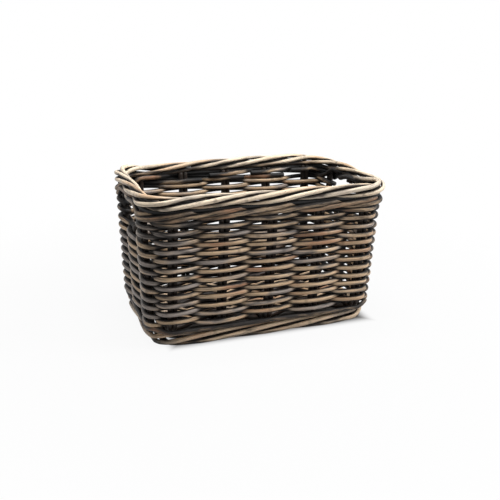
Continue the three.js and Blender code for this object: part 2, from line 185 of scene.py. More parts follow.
@dataclass(frozen=True)
class BasketSizes:
    """Driving sizes of the basket, as in the part's source."""

    rim_length: float = 400.0
    rim_width: float = 250.0
    foot_length: float = 371.0
    foot_width: float = 210.0
    height: float = 238.0
    stake_diameter: float = 7.5
    weaver_diameter: float = 6.6
    rim_strand_diameter: float = 7.4
    rim_core_diameter: float = 5.2
    foot_strand_diameter: float = 7.0
    rod_gap: float = 0.3
    strand_gap: float = 0.6
    long_wall_stakes: int = 5
    end_wall_stakes: int = 3
    foot_corner: float = 24.0
    cross_bend: float = 8.5
    long_bend: float = 20.2
    hole_rows: int = 5
    first_row_rise: float = 10.8
    upsett_rise: float = 4.6
    upsett_out: float = 6.5
    wale_spread: float = 1.6
    wale_inside_rise: float = 4.2
    floor_gap: float = 1.2
    rim_strands: int = 4
    rim_outset: float = 2.5
    rim_phase: float = math.pi / 4.0
    foot_strands: int = 4
    foot_outset: float = 0.0
    foot_twist_height: float = 7.8
    foot_lean: float = 0.2
    foot_flat: float = 1.2
    base_rise: float = 4.6
    twist_steps: int = 3

    @property
    def stakes(self) -> int:
        """Stake pairs round the whole wall."""
        return 2 * self.back_stake

    @property
    def back_stake(self) -> int:
        """First stake of the back wall, counted from the front's left end."""
        return self.long_wall_stakes + self.end_wall_stakes

    @property
    def pair_offset(self) -> float:
        """Distance of each rod of a pair from the pair's middle."""
        return (self.stake_diameter + self.rod_gap) / 2.0

    def facet_share(self, strands: int) -> float:
        """How near the solids' straight facets come to a twist's middle line."""
        return math.cos(math.pi / (strands * self.twist_steps))

    @property
    def rim_twist(self) -> float:
        """Distance of the rim's strands from the rim's middle line, so that they lie on the core."""
        reach = (self.rim_core_diameter + self.rim_strand_diameter) / 2.0 + self.rod_gap
        return reach / self.facet_share(self.rim_strands)

    @property
    def rim_radius(self) -> float:
        """Half thickness of the rim."""
        return self.rim_twist + self.rim_strand_diameter / 2.0

    @property
    def rim_middle(self) -> float:
        """Height of the rim's middle line."""
        return self.height - self.rim_radius

    @property
    def foot_twist(self) -> float:
        """Half width of the foot's twist, so that its strands lie on one another."""
        spread = 2.0 * math.sin(math.pi / self.foot_strands) * self.facet_share(self.foot_strands)
        return (self.foot_strand_diameter + self.strand_gap) / spread

    @property
    def foot_half_height(self) -> float:
        """Half height of the foot, strands included."""
        lean = self.foot_lean * self.foot_twist
        return math.hypot(self.foot_twist_height, lean) + self.foot_strand_diameter / 2.0

    @property
    def foot_middle(self) -> float:
        """Height of the foot's middle line."""
        return self.foot_half_height - self.foot_flat

    @property
    def foot_top(self) -> float:
        """Height of the foot's upper edge."""
        return self.foot_middle + self.foot_half_height

    @property
    def upsett_level(self) -> float:
        """Height of the ring that sets the stakes upright."""
        return self.foot_top + self.upsett_rise

    @property
    def rim_halves(self) -> Array:
        """Half sizes of the rim's middle line."""
        return np.array([self.rim_length, self.rim_width]) / 2.0 - self.rim_radius

    @property
    def foot_halves(self) -> Array:
        """Half sizes of the foot's middle line."""
        half_thickness = self.foot_twist + self.foot_strand_diameter / 2.0
        return np.array([self.foot_length, self.foot_width]) / 2.0 - half_thickness

    @property
    def long_spacing(self) -> float:
        """Distance between stake pairs along the front and back walls."""
        room = self.foot_halves[0] - self.foot_outset - self.foot_corner
        return 2.0 * room / (self.long_wall_stakes - 1)

    @property
    def end_spacing(self) -> float:
        """Distance between stake pairs along the end walls."""
        room = self.foot_halves[1] - self.foot_outset - self.foot_corner
        return 2.0 * room / (self.end_wall_stakes - 1)

    @property
    def base_level(self) -> float:
        """Height of the floor's middle."""
        return self.foot_top + self.base_rise

    @property
    def stake_top(self) -> float:
        """Height at which the stakes reach the rim."""
        return self.height - 2.0 * self.rim_radius - self.rod_gap

    @property
    def wale_step(self) -> float:
        """Rise or fall of a wale rod at the stakes."""
        return (self.weaver_diameter + self.rod_gap) / 2.0

    @property
    def wale_crossing(self) -> float:
        """Rise or fall of a wale rod where it passes through the wall."""
        return self.wale_step + self.wale_spread

    @property
    def wale_middle(self) -> float:
        """Height of the wale's middle."""
        return self.stake_top + self.rod_gap - self.wale_crossing - self.weaver_diameter / 2.0

    @property
    def first_row(self) -> float:
        """Height of the lowest row."""
        return self.base_level + self.first_row_rise

    @property
    def last_row(self) -> float:
        """Height of the highest row."""
        return self.wale_middle - self.wale_crossing - self.weaver_diameter - self.rod_gap

    @property
    def rows(self) -> int:
        """Rows from the floor to the wale."""
        room = self.last_row - self.first_row
        return int(room // (self.weaver_diameter + self.rod_gap)) + 1

    @property
    def full_rows(self) -> int:
        """Rows below the hand holes."""
        return self.rows - self.hole_rows

    def row_height(self, row: Union[float, Array]) -> Union[float, Array]:
        """Height of a row, counted from zero."""
        return self.first_row + row * (self.last_row - self.first_row) / (self.rows - 1)


@dataclass
class RodLine:
    """Centre line of one rod, with the sheltered middle beside it.

    Attributes:
        points: Centre line, one row for each spot.
        core: Middle of the wall or border beside each spot, where dark staining and painted shade gather.
        outward: Direction out of the wall at each spot, or None where shelter counts all round.
    """

    points: Array
    core: Array
    outward: Optional[Array] = None

    FEWEST_STEPS = 4
    BELL_REACH = 3.0

    def even(self, step: float, rounding: float = 0.0) -> "RodLine":
        """Spots at even distances, with corners rounded by a bell-shaped average along the line.

        Args:
            step: Distance between spots.
            rounding: Spread of the average, or zero for none.

        Returns:
            The new line.
        """
        columns = [self.points, self.core]
        if self.outward is not None:
            columns.append(self.outward)
        table = np.concatenate(columns, axis=1)
        along = self.along
        spots = np.linspace(0.0, along[-1], max(int(along[-1] / step), self.FEWEST_STEPS) + 1)
        table = np.stack([np.interp(spots, along, column) for column in table.T], axis=1)
        if rounding > 0.0:
            table = self._rounded(table, rounding / step)
        outward = None if self.outward is None else unit(table[:, 6:9])
        return RodLine(table[:, 0:3], table[:, 3:6], outward)

    def even_all_round(self, step: float) -> "RodLine":
        """Spots at even distances, without an outward direction, so that shelter counts all round."""
        return RodLine(self.points, self.core).even(step)

    @classmethod
    def _rounded(cls, table: Array, spread: float) -> Array:
        """Average of each column with its neighbours, where both ends are carried on by point reflection.

        Args:
            table: Values, one row for each spot.
            spread: Spread of the average, counted in spots.

        Returns:
            The averaged table.
        """
        reach = min(int(math.ceil(cls.BELL_REACH * spread)), len(table) - 1)
        weights = np.exp(-0.5 * (np.arange(-reach, reach + 1) / spread) ** 2)
        weights = weights / weights.sum()
        before = 2.0 * table[0] - table[reach:0:-1]
        after = 2.0 * table[-1] - table[-2 : -reach - 2 : -1]
        long = np.concatenate([before, table, after])
        return np.stack([np.convolve(column, weights, mode="valid") for column in long.T], axis=1)

    @property
    def along(self) -> Array:
        """Distance of each spot from the rod's start."""
        gaps = np.linalg.norm(np.diff(self.points, axis=0), axis=1)
        return np.concatenate([[0.0], np.cumsum(gaps)])


class WallShape:
    """Middle surface of the basket's four walls, in which the stakes stand."""

    def __init__(self, sizes: BasketSizes) -> None:
        """Places the stakes counter-clockwise from the front's left end.

        Args:
            sizes: Driving sizes of the basket.
        """
        self.sizes = sizes
        long = sizes.long_spacing * (np.arange(sizes.long_wall_stakes) - (sizes.long_wall_stakes - 1) / 2.0)
        end = sizes.end_spacing * (np.arange(sizes.end_wall_stakes) - (sizes.end_wall_stakes - 1) / 2.0)
        long_zero, end_zero = np.zeros_like(long), np.zeros_like(end)
        offsets = [
            np.stack([long, long_zero], axis=1),
            np.stack([end_zero, end], axis=1),
            np.stack([-long, long_zero], axis=1),
            np.stack([end_zero, -end], axis=1),
        ]
        self.offset = np.concatenate(offsets)
        counts = [len(long), len(end), len(long), len(end)]
        self.normal = np.repeat(np.array([[0.0, -1.0], [1.0, 0.0], [0.0, 1.0], [-1.0, 0.0]]), counts, axis=0)
        self.low = sizes.foot_halves - sizes.foot_outset
        self.high = sizes.rim_halves - sizes.rim_outset

    def halves(self, height: Union[float, Array]) -> Array:
        """Half sizes of the middle surface at a height, which grow evenly from the foot to the rim."""
        share = np.atleast_1d(height)[:, None] / self.sizes.height
        return self.low + (self.high - self.low) * share

    def beside_corner(self, stake: Array) -> Array:
        """Whether each stake is the last one of its wall on either side.

        Args:
            stake: Numbers of the stakes.

        Returns:
            One answer for each stake.
        """
        here = self.normal[stake % self.sizes.stakes]
        after = self.normal[(stake + 1) % self.sizes.stakes]
        before = self.normal[(stake - 1) % self.sizes.stakes]
        return np.any(here != after, axis=-1) | np.any(here != before, axis=-1)

    def once_round(self, first: int, samples: int) -> Array:
        """Places once round the basket from a stake, with the same number of samples at each stake."""
        return np.linspace(first, first + self.sizes.stakes, self.sizes.stakes * samples + 1)

    def crests(self, turn: Array, crest: float, corner_crest: float) -> Array:
        """Height of a weave's wave at each place, with its own value at stakes beside the corners."""
        stakes = np.arange(math.floor(turn.min()) - 1, math.ceil(turn.max()) + 2)
        return np.interp(turn, stakes, np.where(self.beside_corner(stakes), corner_crest, crest))

    def line(self, turn: Array, out: Array, height: Array, halves: Optional[Array] = None) -> RodLine:
        """A line on or beside the walls.

        Between two stakes of one wall the middle surface is straight. Between two walls it is a quarter of
        an ellipse, centre + from_axis cos(part) + to_axis sin(part), and out is measured along its normal.

        Args:
            turn: Place round the basket, counted in stakes.
            out: Distance outside the middle surface.
            height: Height of each spot.
            halves: Half sizes of another ring to follow, such as a border's middle line.

        Returns:
            The line with its middle and its outward direction.
        """
        rings = self.halves(height) if halves is None else np.broadcast_to(halves, (len(turn), 2))
        index = np.floor(turn).astype(int)
        part = (turn - index)[:, None]
        here = index % self.sizes.stakes
        after = (index + 1) % self.sizes.stakes
        here_normal, after_normal = self.normal[here], self.normal[after]
        start = here_normal * rings + self.offset[here]
        stop = after_normal * rings + self.offset[after]
        reach = start - stop
        here_reach = np.abs(np.sum(here_normal * reach, axis=1, keepdims=True))
        after_reach = np.abs(np.sum(after_normal * reach, axis=1, keepdims=True))
        cosine, sine = np.cos(part * math.pi / 2.0), np.sin(part * math.pi / 2.0)
        bent = start - here_normal * here_reach * (1.0 - cosine) + after_normal * after_reach * sine
        bent_normal = here_normal * cosine * after_reach + after_normal * sine * here_reach
        corner = np.any(here_normal != after_normal, axis=1, keepdims=True)
        middle = np.where(corner, bent, start + (stop - start) * part)
        normal = unit(np.where(corner, bent_normal, here_normal))
        core = np.column_stack([middle, height])
        outward = np.column_stack([normal, np.zeros(len(turn))])
        return RodLine(core + outward * out[:, None], core, outward)

    def ring(self, out: float, height: float, samples: int, halves: Optional[Array] = None) -> RodLine:
        """A level line that goes once round the basket from the back wall.

        Args:
            out: Distance outside the middle surface.
            height: Height of the line.
            samples: Spots from one stake to the next.
            halves: Half sizes of another ring to follow.

        Returns:
            The line with its middle and its outward direction.
        """
        turn = self.once_round(self.sizes.back_stake + 2, samples)
        return self.line(turn, np.full(len(turn), out), np.full(len(turn), height), halves)


@dataclass(frozen=True)
class Shelter:
    """Distances from the sheltered middle at which a rod is still dark, stained and with painted shade, and
    already worn bare.
    """

    stained: float
    bare: float


@dataclass(frozen=True)
class RodLook:
    """How one kind of rod grows and wears.

    Attributes:
        diameter: Mean thickness.
        sides: Facets round the section.
        shelter: Where the rod is stained and darkened by painted shade, and where it is bare.
        step: Distance between rings of vertices.
        thickness_spread: Share by which the thickness changes.
        joint_spacing: Mean distance between growth joints.
        joint_swell: Share by which a joint is thicker.
        joint_width: Spread of a joint's swelling.
        bow: Size of the rod's small bends.
        bow_spacing: Distance between the bends.
        tone_spacing: Distance over which the colour changes.
        rim_shade: Share of bare colour taken off close under the rim, as the rim's painted shadow.
        side_shade: Share of bare colour taken off at the left end of the long walls, as painted shade.
        end_swell: Share by which the rod is thicker on the end walls.
        grey_side: Shift of the colour to grey at the left end.
        inside_wear: Share of wear on the side that looks into the basket.
        end_inside_shade: Share of that inside wear taken off on the end walls, as painted shade on their
            inner faces.
        end_shade: Share of wear lost outside the right end wall.
        tip_stain: Length over which the rod's tips are stained, or zero for none.
    """

    diameter: float
    sides: int
    shelter: Shelter
    step: float = 3.0
    thickness_spread: float = 0.03
    joint_spacing: float = 260.0
    joint_swell: float = 0.04
    joint_width: float = 3.2
    bow: float = 0.22
    bow_spacing: float = 55.0
    tone_spacing: float = 48.0
    rim_shade: float = 0.0
    side_shade: float = 0.0
    end_swell: float = 0.0
    grey_side: float = 0.0
    inside_wear: float = 1.2
    end_inside_shade: float = 0.0
    end_shade: float = 0.0
    tip_stain: float = 0.0


class RodSurface:
    """Closed surface of one rod: rings round its line, with a rounded end at both sides."""

    END_SETBACK = np.array([0.30, 0.20, 0.07])
    END_SHARE = np.array([0.62, 0.86, 0.97])
    TIP_SHARE = 0.04
    OVAL = 0.025
    OVAL_TURN = 0.05
    ROD_TONE = 0.4
    LENGTH_TONE = 0.75
    ROD_THICKNESS = 0.6
    LENGTH_THICKNESS = 0.5
    THICKNESS_SPACING = 120.0
    THINNEST = 2.0
    THICKEST = 1.2
    FIRST_SPOT = 5000.0
    # Facets darken as they turn away from the wall's outside: painted shade on each rod's flanks, over the
    # staining.
    EDGE_FACING = 0.10
    BARE_FACING = 1.0
    GREY_FROM = 90.0
    GREY_FULL = 150.0
    END_FROM = 0.25
    END_FULL = 0.85
    # Between these heights the rim's painted shadow falls on the walls.
    RIM_SHADE_LOW = 152.0
    RIM_SHADE_HIGH = 204.0

    def __init__(self, line: RodLine, look: RodLook, steady: Steady, rng: np.random.Generator) -> None:
        """Works out the surface p(s, a) = line(s) + r(s, a) (cos a side + sin a up).

        Args:
            line: Even centre line.
            look: How the rod grows.
            steady: Direction that keeps the section from turning.
            rng: Source of the rod's own unevenness.
        """
        along = line.along
        points = line.points + self._bow(along, look, rng)
        tangent = unit(np.gradient(points, axis=0))
        radius, joint = self._growth(along, look, rng)
        if line.outward is not None:
            radius = radius * (1.0 + look.end_swell * line.outward[:, 0] ** 2)
        tone = self.ROD_TONE * rng.normal() + self.LENGTH_TONE * wander(along, look.tone_spacing, rng)
        tone = tone - look.grey_side * smoothstep(self.GREY_FROM, self.GREY_FULL, -points[:, 0])
        front = self.END_SETBACK[:, None] * radius[0] * tangent[0]
        rear = self.END_SETBACK[::-1, None] * radius[-1] * tangent[-1]
        stations = np.concatenate([points[0] - front, points, points[-1] + rear])
        share = np.concatenate([self.END_SHARE, np.ones(len(points)), self.END_SHARE[::-1]])
        tangent = self._padded(tangent)
        radius = self._padded(radius) * share
        self.along = self._padded(along)
        self.along[: len(front)] -= self.END_SETBACK * look.diameter / 2.0
        self.along[-len(rear) :] += self.END_SETBACK[::-1] * look.diameter / 2.0
        aim = np.array(steady.value)
        side = unit(aim - tangent * (tangent @ aim)[:, None])
        up = np.cross(tangent, side)
        angle = TAU * np.arange(look.sides) / look.sides
        swing = 2.0 * angle[None, :] + self.OVAL_TURN * self.along[:, None] + TAU * rng.random()
        reach = radius[:, None] * (1.0 + self.OVAL * np.cos(swing))
        round_cos, round_sin = np.cos(angle)[None, :, None], np.sin(angle)[None, :, None]
        spoke = round_cos * side[:, None, :] + round_sin * up[:, None, :]
        rings = stations[:, None, :] + reach[:, :, None] * spoke
        tips = np.stack([
            stations[0] - self.TIP_SHARE * look.diameter * tangent[0],
            stations[-1] + self.TIP_SHARE * look.diameter * tangent[-1],
        ])
        self.sides = look.sides
        self.rings = len(stations)
        self.vertices = np.concatenate([rings.reshape(-1, 3), tips])
        self.exposure = self._bare_and_lit(line, look, spoke)
        self.tone = self._spread(self._padded(tone))
        self.joint = self._spread(self._padded(joint))
        self.rod_space = self._rod_space(angle, look, rng)

    @classmethod
    def _padded(cls, values: Array) -> Array:
        """Values of the first and last spot, carried on to the rings of the rounded ends."""
        rings = len(cls.END_SETBACK)
        return np.pad(values, [(rings, rings)] + [(0, 0)] * (values.ndim - 1), mode="edge")

    @staticmethod
    def _bow(along: Array, look: RodLook, rng: np.random.Generator) -> Array:
        """Small smooth bends, as of a rod that is never quite straight."""
        return np.stack([look.bow * wander(along, look.bow_spacing, rng) for _ in range(3)], axis=1)

    def _growth(self, along: Array, look: RodLook, rng: np.random.Generator) -> tuple[Array, Array]:
        """Radius along the rod and the mask of its growth joints, which are bell-shaped swellings.

        Args:
            along: Distance of each spot from the rod's start.
            look: How the rod grows.
            rng: Source of the rod's own unevenness.

        Returns:
            The radius and the joint's share at each spot.
        """
        count = max(int(along[-1] / look.joint_spacing) + 1, 1)
        spots = (np.arange(count) + rng.random(count)) * look.joint_spacing
        swellings = np.exp(-0.5 * ((along[:, None] - spots[None, :]) / look.joint_width) ** 2)
        joint = swellings.max(axis=1)
        swing = self.ROD_THICKNESS * rng.normal()
        swing = swing + self.LENGTH_THICKNESS * wander(along, self.THICKNESS_SPACING, rng)
        thickness = 1.0 + look.thickness_spread * np.clip(swing, -self.THINNEST, self.THICKEST)
        return look.diameter / 2.0 * thickness * (1.0 + look.joint_swell * joint), joint

    def _bare_and_lit(self, line: RodLine, look: RodLook, spoke: Array) -> Array:
        """Share of bare colour, from dark (stained and with painted shade) to bare, which fades towards a
        stained tip.

        Args:
            line: Centre line with its sheltered middle.
            look: How the rod wears, with its shelter.
            spoke: Direction of each vertex from the centre line.

        Returns:
            One share for each vertex.
        """
        if line.outward is None:
            exposure = self._border_bare_and_lit(line, look)
        else:
            exposure = self._wall_bare_and_lit(line, look, spoke)
        if look.tip_stain > 0.0:
            to_tip = np.minimum(self.along - self.along[0], self.along[-1] - self.along)[:, None]
            exposure = exposure * smoothstep(0.0, look.tip_stain, to_tip)
        return np.concatenate([exposure.ravel(), exposure[[0, -1]].mean(axis=1)])

    def _border_bare_and_lit(self, line: RodLine, look: RodLook) -> Array:
        """Share of bare colour in a border, which grows with the distance from its middle line, so that the
        strands are stained and darkened by painted shade towards that middle.

        Args:
            line: Centre line with the border's middle line.
            look: How the rod wears, with its shelter.

        Returns:
            One share for each vertex of each ring.
        """
        core = self._padded(line.core)
        rings = self.vertices[:-2].reshape(self.rings, self.sides, 3) - core[:, None, :]
        return smoothstep(look.shelter.stained, look.shelter.bare, np.linalg.norm(rings, axis=2))

    def _wall_bare_and_lit(self, line: RodLine, look: RodLook, spoke: Array) -> Array:
        """Share of bare colour in a wall.

        The face that looks outwards is bare where the rod lies outside the wall's middle, and the face that
        looks inwards where it lies inside it; elsewhere the rod is dark, stained and with painted shade in
        the recesses and on its flanks. Outside, painted shade lowers the share close under the rim, as the
        rim's shadow, and towards the left end of the long walls; the share also falls on the right end wall.
        On the end walls' inner faces painted shade lowers it too.

        Args:
            line: Centre line with its sheltered middle.
            look: How the rod wears, with its shelter.
            spoke: Direction of each vertex from the centre line.

        Returns:
            One share for each vertex of each ring.
        """
        stained, bare = look.shelter.stained, look.shelter.bare
        edge, face = self.EDGE_FACING, self.BARE_FACING
        core = self._padded(line.core)
        outward = self._padded(line.outward)
        distance = self._padded(np.sum((line.points - line.core) * line.outward, axis=1))[:, None]
        facing = np.sum(spoke * outward[:, None, :], axis=2)
        outer = smoothstep(edge, face, facing) * smoothstep(stained, bare, distance)
        inner = smoothstep(edge, face, -facing) * smoothstep(stained, bare, -distance)
        # Painted shade: the rim's shadow under it and the darker left end of the long walls.
        under_rim = smoothstep(self.RIM_SHADE_LOW, self.RIM_SHADE_HIGH, core[:, 2:3])
        aside = smoothstep(self.GREY_FROM, self.GREY_FULL, -core[:, 0:1]) * outward[:, 1:2] ** 2
        at_end = smoothstep(self.END_FROM, self.END_FULL, outward[:, 0:1])
        shade = look.rim_shade * under_rim + look.side_shade * aside + look.end_shade * at_end
        # Painted shade on the end walls' inner faces.
        inside = look.inside_wear * (1.0 - look.end_inside_shade * outward[:, 0:1] ** 2)
        return outer * (1.0 - shade) + inside * inner

    def _spread(self, values: Array) -> Array:
        """One value for each ring, repeated round it and at the tips."""
        return np.concatenate([np.repeat(values, self.sides), values[[0, -1]]])

    def _rod_space(self, angle: Array, look: RodLook, rng: np.random.Generator) -> Array:
        """Place in the rod as if it were straight: distance along it, and the section's two directions.

        Args:
            angle: Angle of each facet.
            look: How the rod grows.
            rng: Source of the spot in the grain at which the rod starts.

        Returns:
            One place for each vertex.
        """
        start = self.FIRST_SPOT * rng.random()
        along = np.repeat(self.along + start, self.sides)
        radius = look.diameter / 2.0
        cosine = np.tile(radius * np.cos(angle), self.rings)
        sine = np.tile(radius * np.sin(angle), self.rings)
        body = np.stack([along, cosine, sine], axis=1)
        tips = np.array([[self.along[0] + start, 0.0, 0.0], [self.along[-1] + start, 0.0, 0.0]])
        return np.concatenate([body, tips])

    def faces(self) -> tuple[Array, Array]:
        """Four-cornered faces between neighbouring rings, and the fans of three-cornered faces at the tips.

        Returns:
            The corners of the four-cornered faces and of the three-cornered faces.
        """
        ring = np.arange(self.rings - 1)[:, None] * self.sides
        here = np.arange(self.sides)[None, :]
        after = (here + 1) % self.sides
        near, far = ring + here, ring + after
        quads = np.stack([near, far, far + self.sides, near + self.sides], axis=2)
        first, last = self.rings * self.sides, self.rings * self.sides + 1
        end = (self.rings - 1) * self.sides
        here, after = here[0], after[0]
        front = np.stack([after, here, np.full(self.sides, first)], axis=1)
        rear = np.stack([end + here, end + after, np.full(self.sides, last)], axis=1)
        return quads.reshape(-1, 4), np.concatenate([front, rear])


class RodPiece:
    """One object made of one or more rods."""

    def __init__(self, node: str, surfaces: list[RodSurface]) -> None:
        """Keeps the rods that stand for one node of the part."""
        self.node = node
        self.surfaces = surfaces

    def _mesh(self) -> bpy.types.Mesh:
        """All rods in one mesh, with the values that the finishes read.

        Returns:
            The mesh, in metres.
        """
        counts = np.array([len(surface.vertices) for surface in self.surfaces])
        starts = np.concatenate([[0], np.cumsum(counts)[:-1]])
        parts = [surface.faces() for surface in self.surfaces]
        quads = np.concatenate([part[0] + start for part, start in zip(parts, starts)])
        fans = np.concatenate([part[1] + start for part, start in zip(parts, starts)])
        vertices = np.concatenate([surface.vertices for surface in self.surfaces]) * MM
        corners = np.concatenate([quads.ravel(), fans.ravel()]).astype(np.int32)
        totals = np.concatenate([np.full(len(quads), 4), np.full(len(fans), 3)]).astype(np.int32)
        begins = np.concatenate([[0], np.cumsum(totals)[:-1]]).astype(np.int32)
        mesh = bpy.data.meshes.new(f"{self.node}_rod")
        mesh.vertices.add(len(vertices))
        mesh.vertices.foreach_set("co", vertices.astype(np.float32).ravel())
        mesh.loops.add(len(corners))
        mesh.loops.foreach_set("vertex_index", corners)
        mesh.polygons.add(len(totals))
        mesh.polygons.foreach_set("loop_start", begins)
        mesh.polygons.foreach_set("loop_total", totals)
        mesh.polygons.foreach_set("use_smooth", np.ones(len(totals), dtype=bool))
        mesh.update(calc_edges=True)
        # The first value is the share of bare colour, low where staining and painted shade darken the rod;
        # tone and joint are its own marks.
        for name in ("exposure", "tone", "joint"):
            values = np.concatenate([getattr(surface, name) for surface in self.surfaces])
            mesh.attributes.new(name, "FLOAT", "POINT").data.foreach_set("value", values.astype(np.float32))
        space = np.concatenate([surface.rod_space for surface in self.surfaces]) * MM
        attribute = mesh.attributes.new("rod_space", "FLOAT_VECTOR", "POINT")
        attribute.data.foreach_set("vector", space.astype(np.float32).ravel())
        return mesh

    def place(self, material: bpy.types.Material, slot: Slot) -> bpy.types.Object:
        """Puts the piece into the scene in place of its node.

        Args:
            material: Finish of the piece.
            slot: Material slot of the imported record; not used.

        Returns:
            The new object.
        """
        mesh = self._mesh()
        mesh.materials.append(material)
        piece = bpy.data.objects.new(f"{self.node}_rod", mesh)
        bpy.context.scene.collection.objects.link(piece)
        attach(piece, "root")
        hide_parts(self.node)
        LOG.info("%s: %d rods, %d faces", piece.name, len(self.surfaces), len(mesh.polygons))
        return piece


class NodeMaker:
    """Short ways to add shader nodes to one tree."""

    MIX_LOW = 6
    MIX_HIGH = 7
    MIX_RESULT = 2

    def __init__(self, tree: bpy.types.NodeTree) -> None:
        """Keeps the tree that takes the nodes."""
        self.tree = tree

    def add(self, kind: str) -> bpy.types.Node:
        """A new node of a kind."""
        return self.tree.nodes.new(kind)

    def feed(self, target: Socket, source: Input) -> None:
        """Links a socket to another, or sets its plain value.

        Args:
            target: Socket to feed.
            source: Socket, number or colour that feeds it.
        """
        if isinstance(source, bpy.types.NodeSocket):
            self.tree.links.new(source, target)
        elif isinstance(source, tuple):
            target.default_value = (*source, 1.0)[: len(target.default_value)]
        else:
            target.default_value = source

    def math(self, operation: str, first: Input, second: Input = 0.0) -> Socket:
        """Result of a Math node.

        Args:
            operation: The node's operation.
            first: First number.
            second: Second number.

        Returns:
            The result's socket.
        """
        node = self.add("ShaderNodeMath")
        node.operation = operation
        self.feed(node.inputs[0], first)
        self.feed(node.inputs[1], second)
        return node.outputs[0]

    def blend(self, share: Input, low: Input, high: Input) -> Socket:
        """Colour between two colours.

        Args:
            share: Share of the second colour.
            low: First colour.
            high: Second colour.

        Returns:
            The colour's socket.
        """
        node = self.add("ShaderNodeMix")
        node.data_type = "RGBA"
        self.feed(node.inputs["Factor"], share)
        self.feed(node.inputs[self.MIX_LOW], low)
        self.feed(node.inputs[self.MIX_HIGH], high)
        return node.outputs[self.MIX_RESULT]

    def ease(self, value: Input, low: float, high: float) -> Socket:
        """Smooth step of a value from low to high.

        Args:
            value: Value to turn into a share.
            low: Where the rise starts.
            high: Where the rise ends.

        Returns:
            The share's socket.
        """
        node = self.add("ShaderNodeMapRange")
        node.interpolation_type = "SMOOTHSTEP"
        self.feed(node.inputs["Value"], value)
        node.inputs["From Min"].default_value = low
        node.inputs["From Max"].default_value = high
        return node.outputs["Result"]

    def noise(self, place: Socket, stretch: Triple, detail: float) -> Socket:
        """Noise in a place whose three directions have their own frequencies, in cells per metre.

        Args:
            place: Place that the noise is read at.
            stretch: Frequencies of the three directions.
            detail: Number of finer layers.

        Returns:
            The noise's socket.
        """
        scaled = self.add("ShaderNodeVectorMath")
        scaled.operation = "MULTIPLY"
        self.feed(scaled.inputs[0], place)
        scaled.inputs[1].default_value = stretch
        node = self.add("ShaderNodeTexNoise")
        self.feed(node.inputs["Vector"], scaled.outputs[0])
        node.inputs["Scale"].default_value = 1.0
        node.inputs["Detail"].default_value = detail
        return node.outputs["Fac"]

    def attribute(self, name: str) -> bpy.types.Node:
        """Node that reads one of the mesh's own values.

        Args:
            name: Name of the value.

        Returns:
            The node.
        """
        node = self.add("ShaderNodeAttribute")
        node.attribute_name = name
        return node

    def seen(self) -> Socket:
        """One for the rays that show a surface to the camera: straight, through glass or in a reflection.

        Returns:
            The share's socket.
        """
        rays = self.add("ShaderNodeLightPath").outputs
        straight = self.math("MAXIMUM", rays["Is Camera Ray"], rays["Is Transmission Ray"])
        return self.math("MAXIMUM", straight, rays["Is Glossy Ray"])

    def mix_shaders(self, share: Socket, low: Socket, high: Socket, target: Socket) -> None:
        """Feeds a socket with a mix of two shaders.

        Args:
            share: Share of the second shader.
            low: First shader.
            high: Second shader.
            target: Socket to feed.
        """
        node = self.add("ShaderNodeMixShader")
        self.feed(node.inputs["Fac"], share)
        self.feed(node.inputs[1], low)
        self.feed(node.inputs[2], high)
        self.feed(target, node.outputs["Shader"])


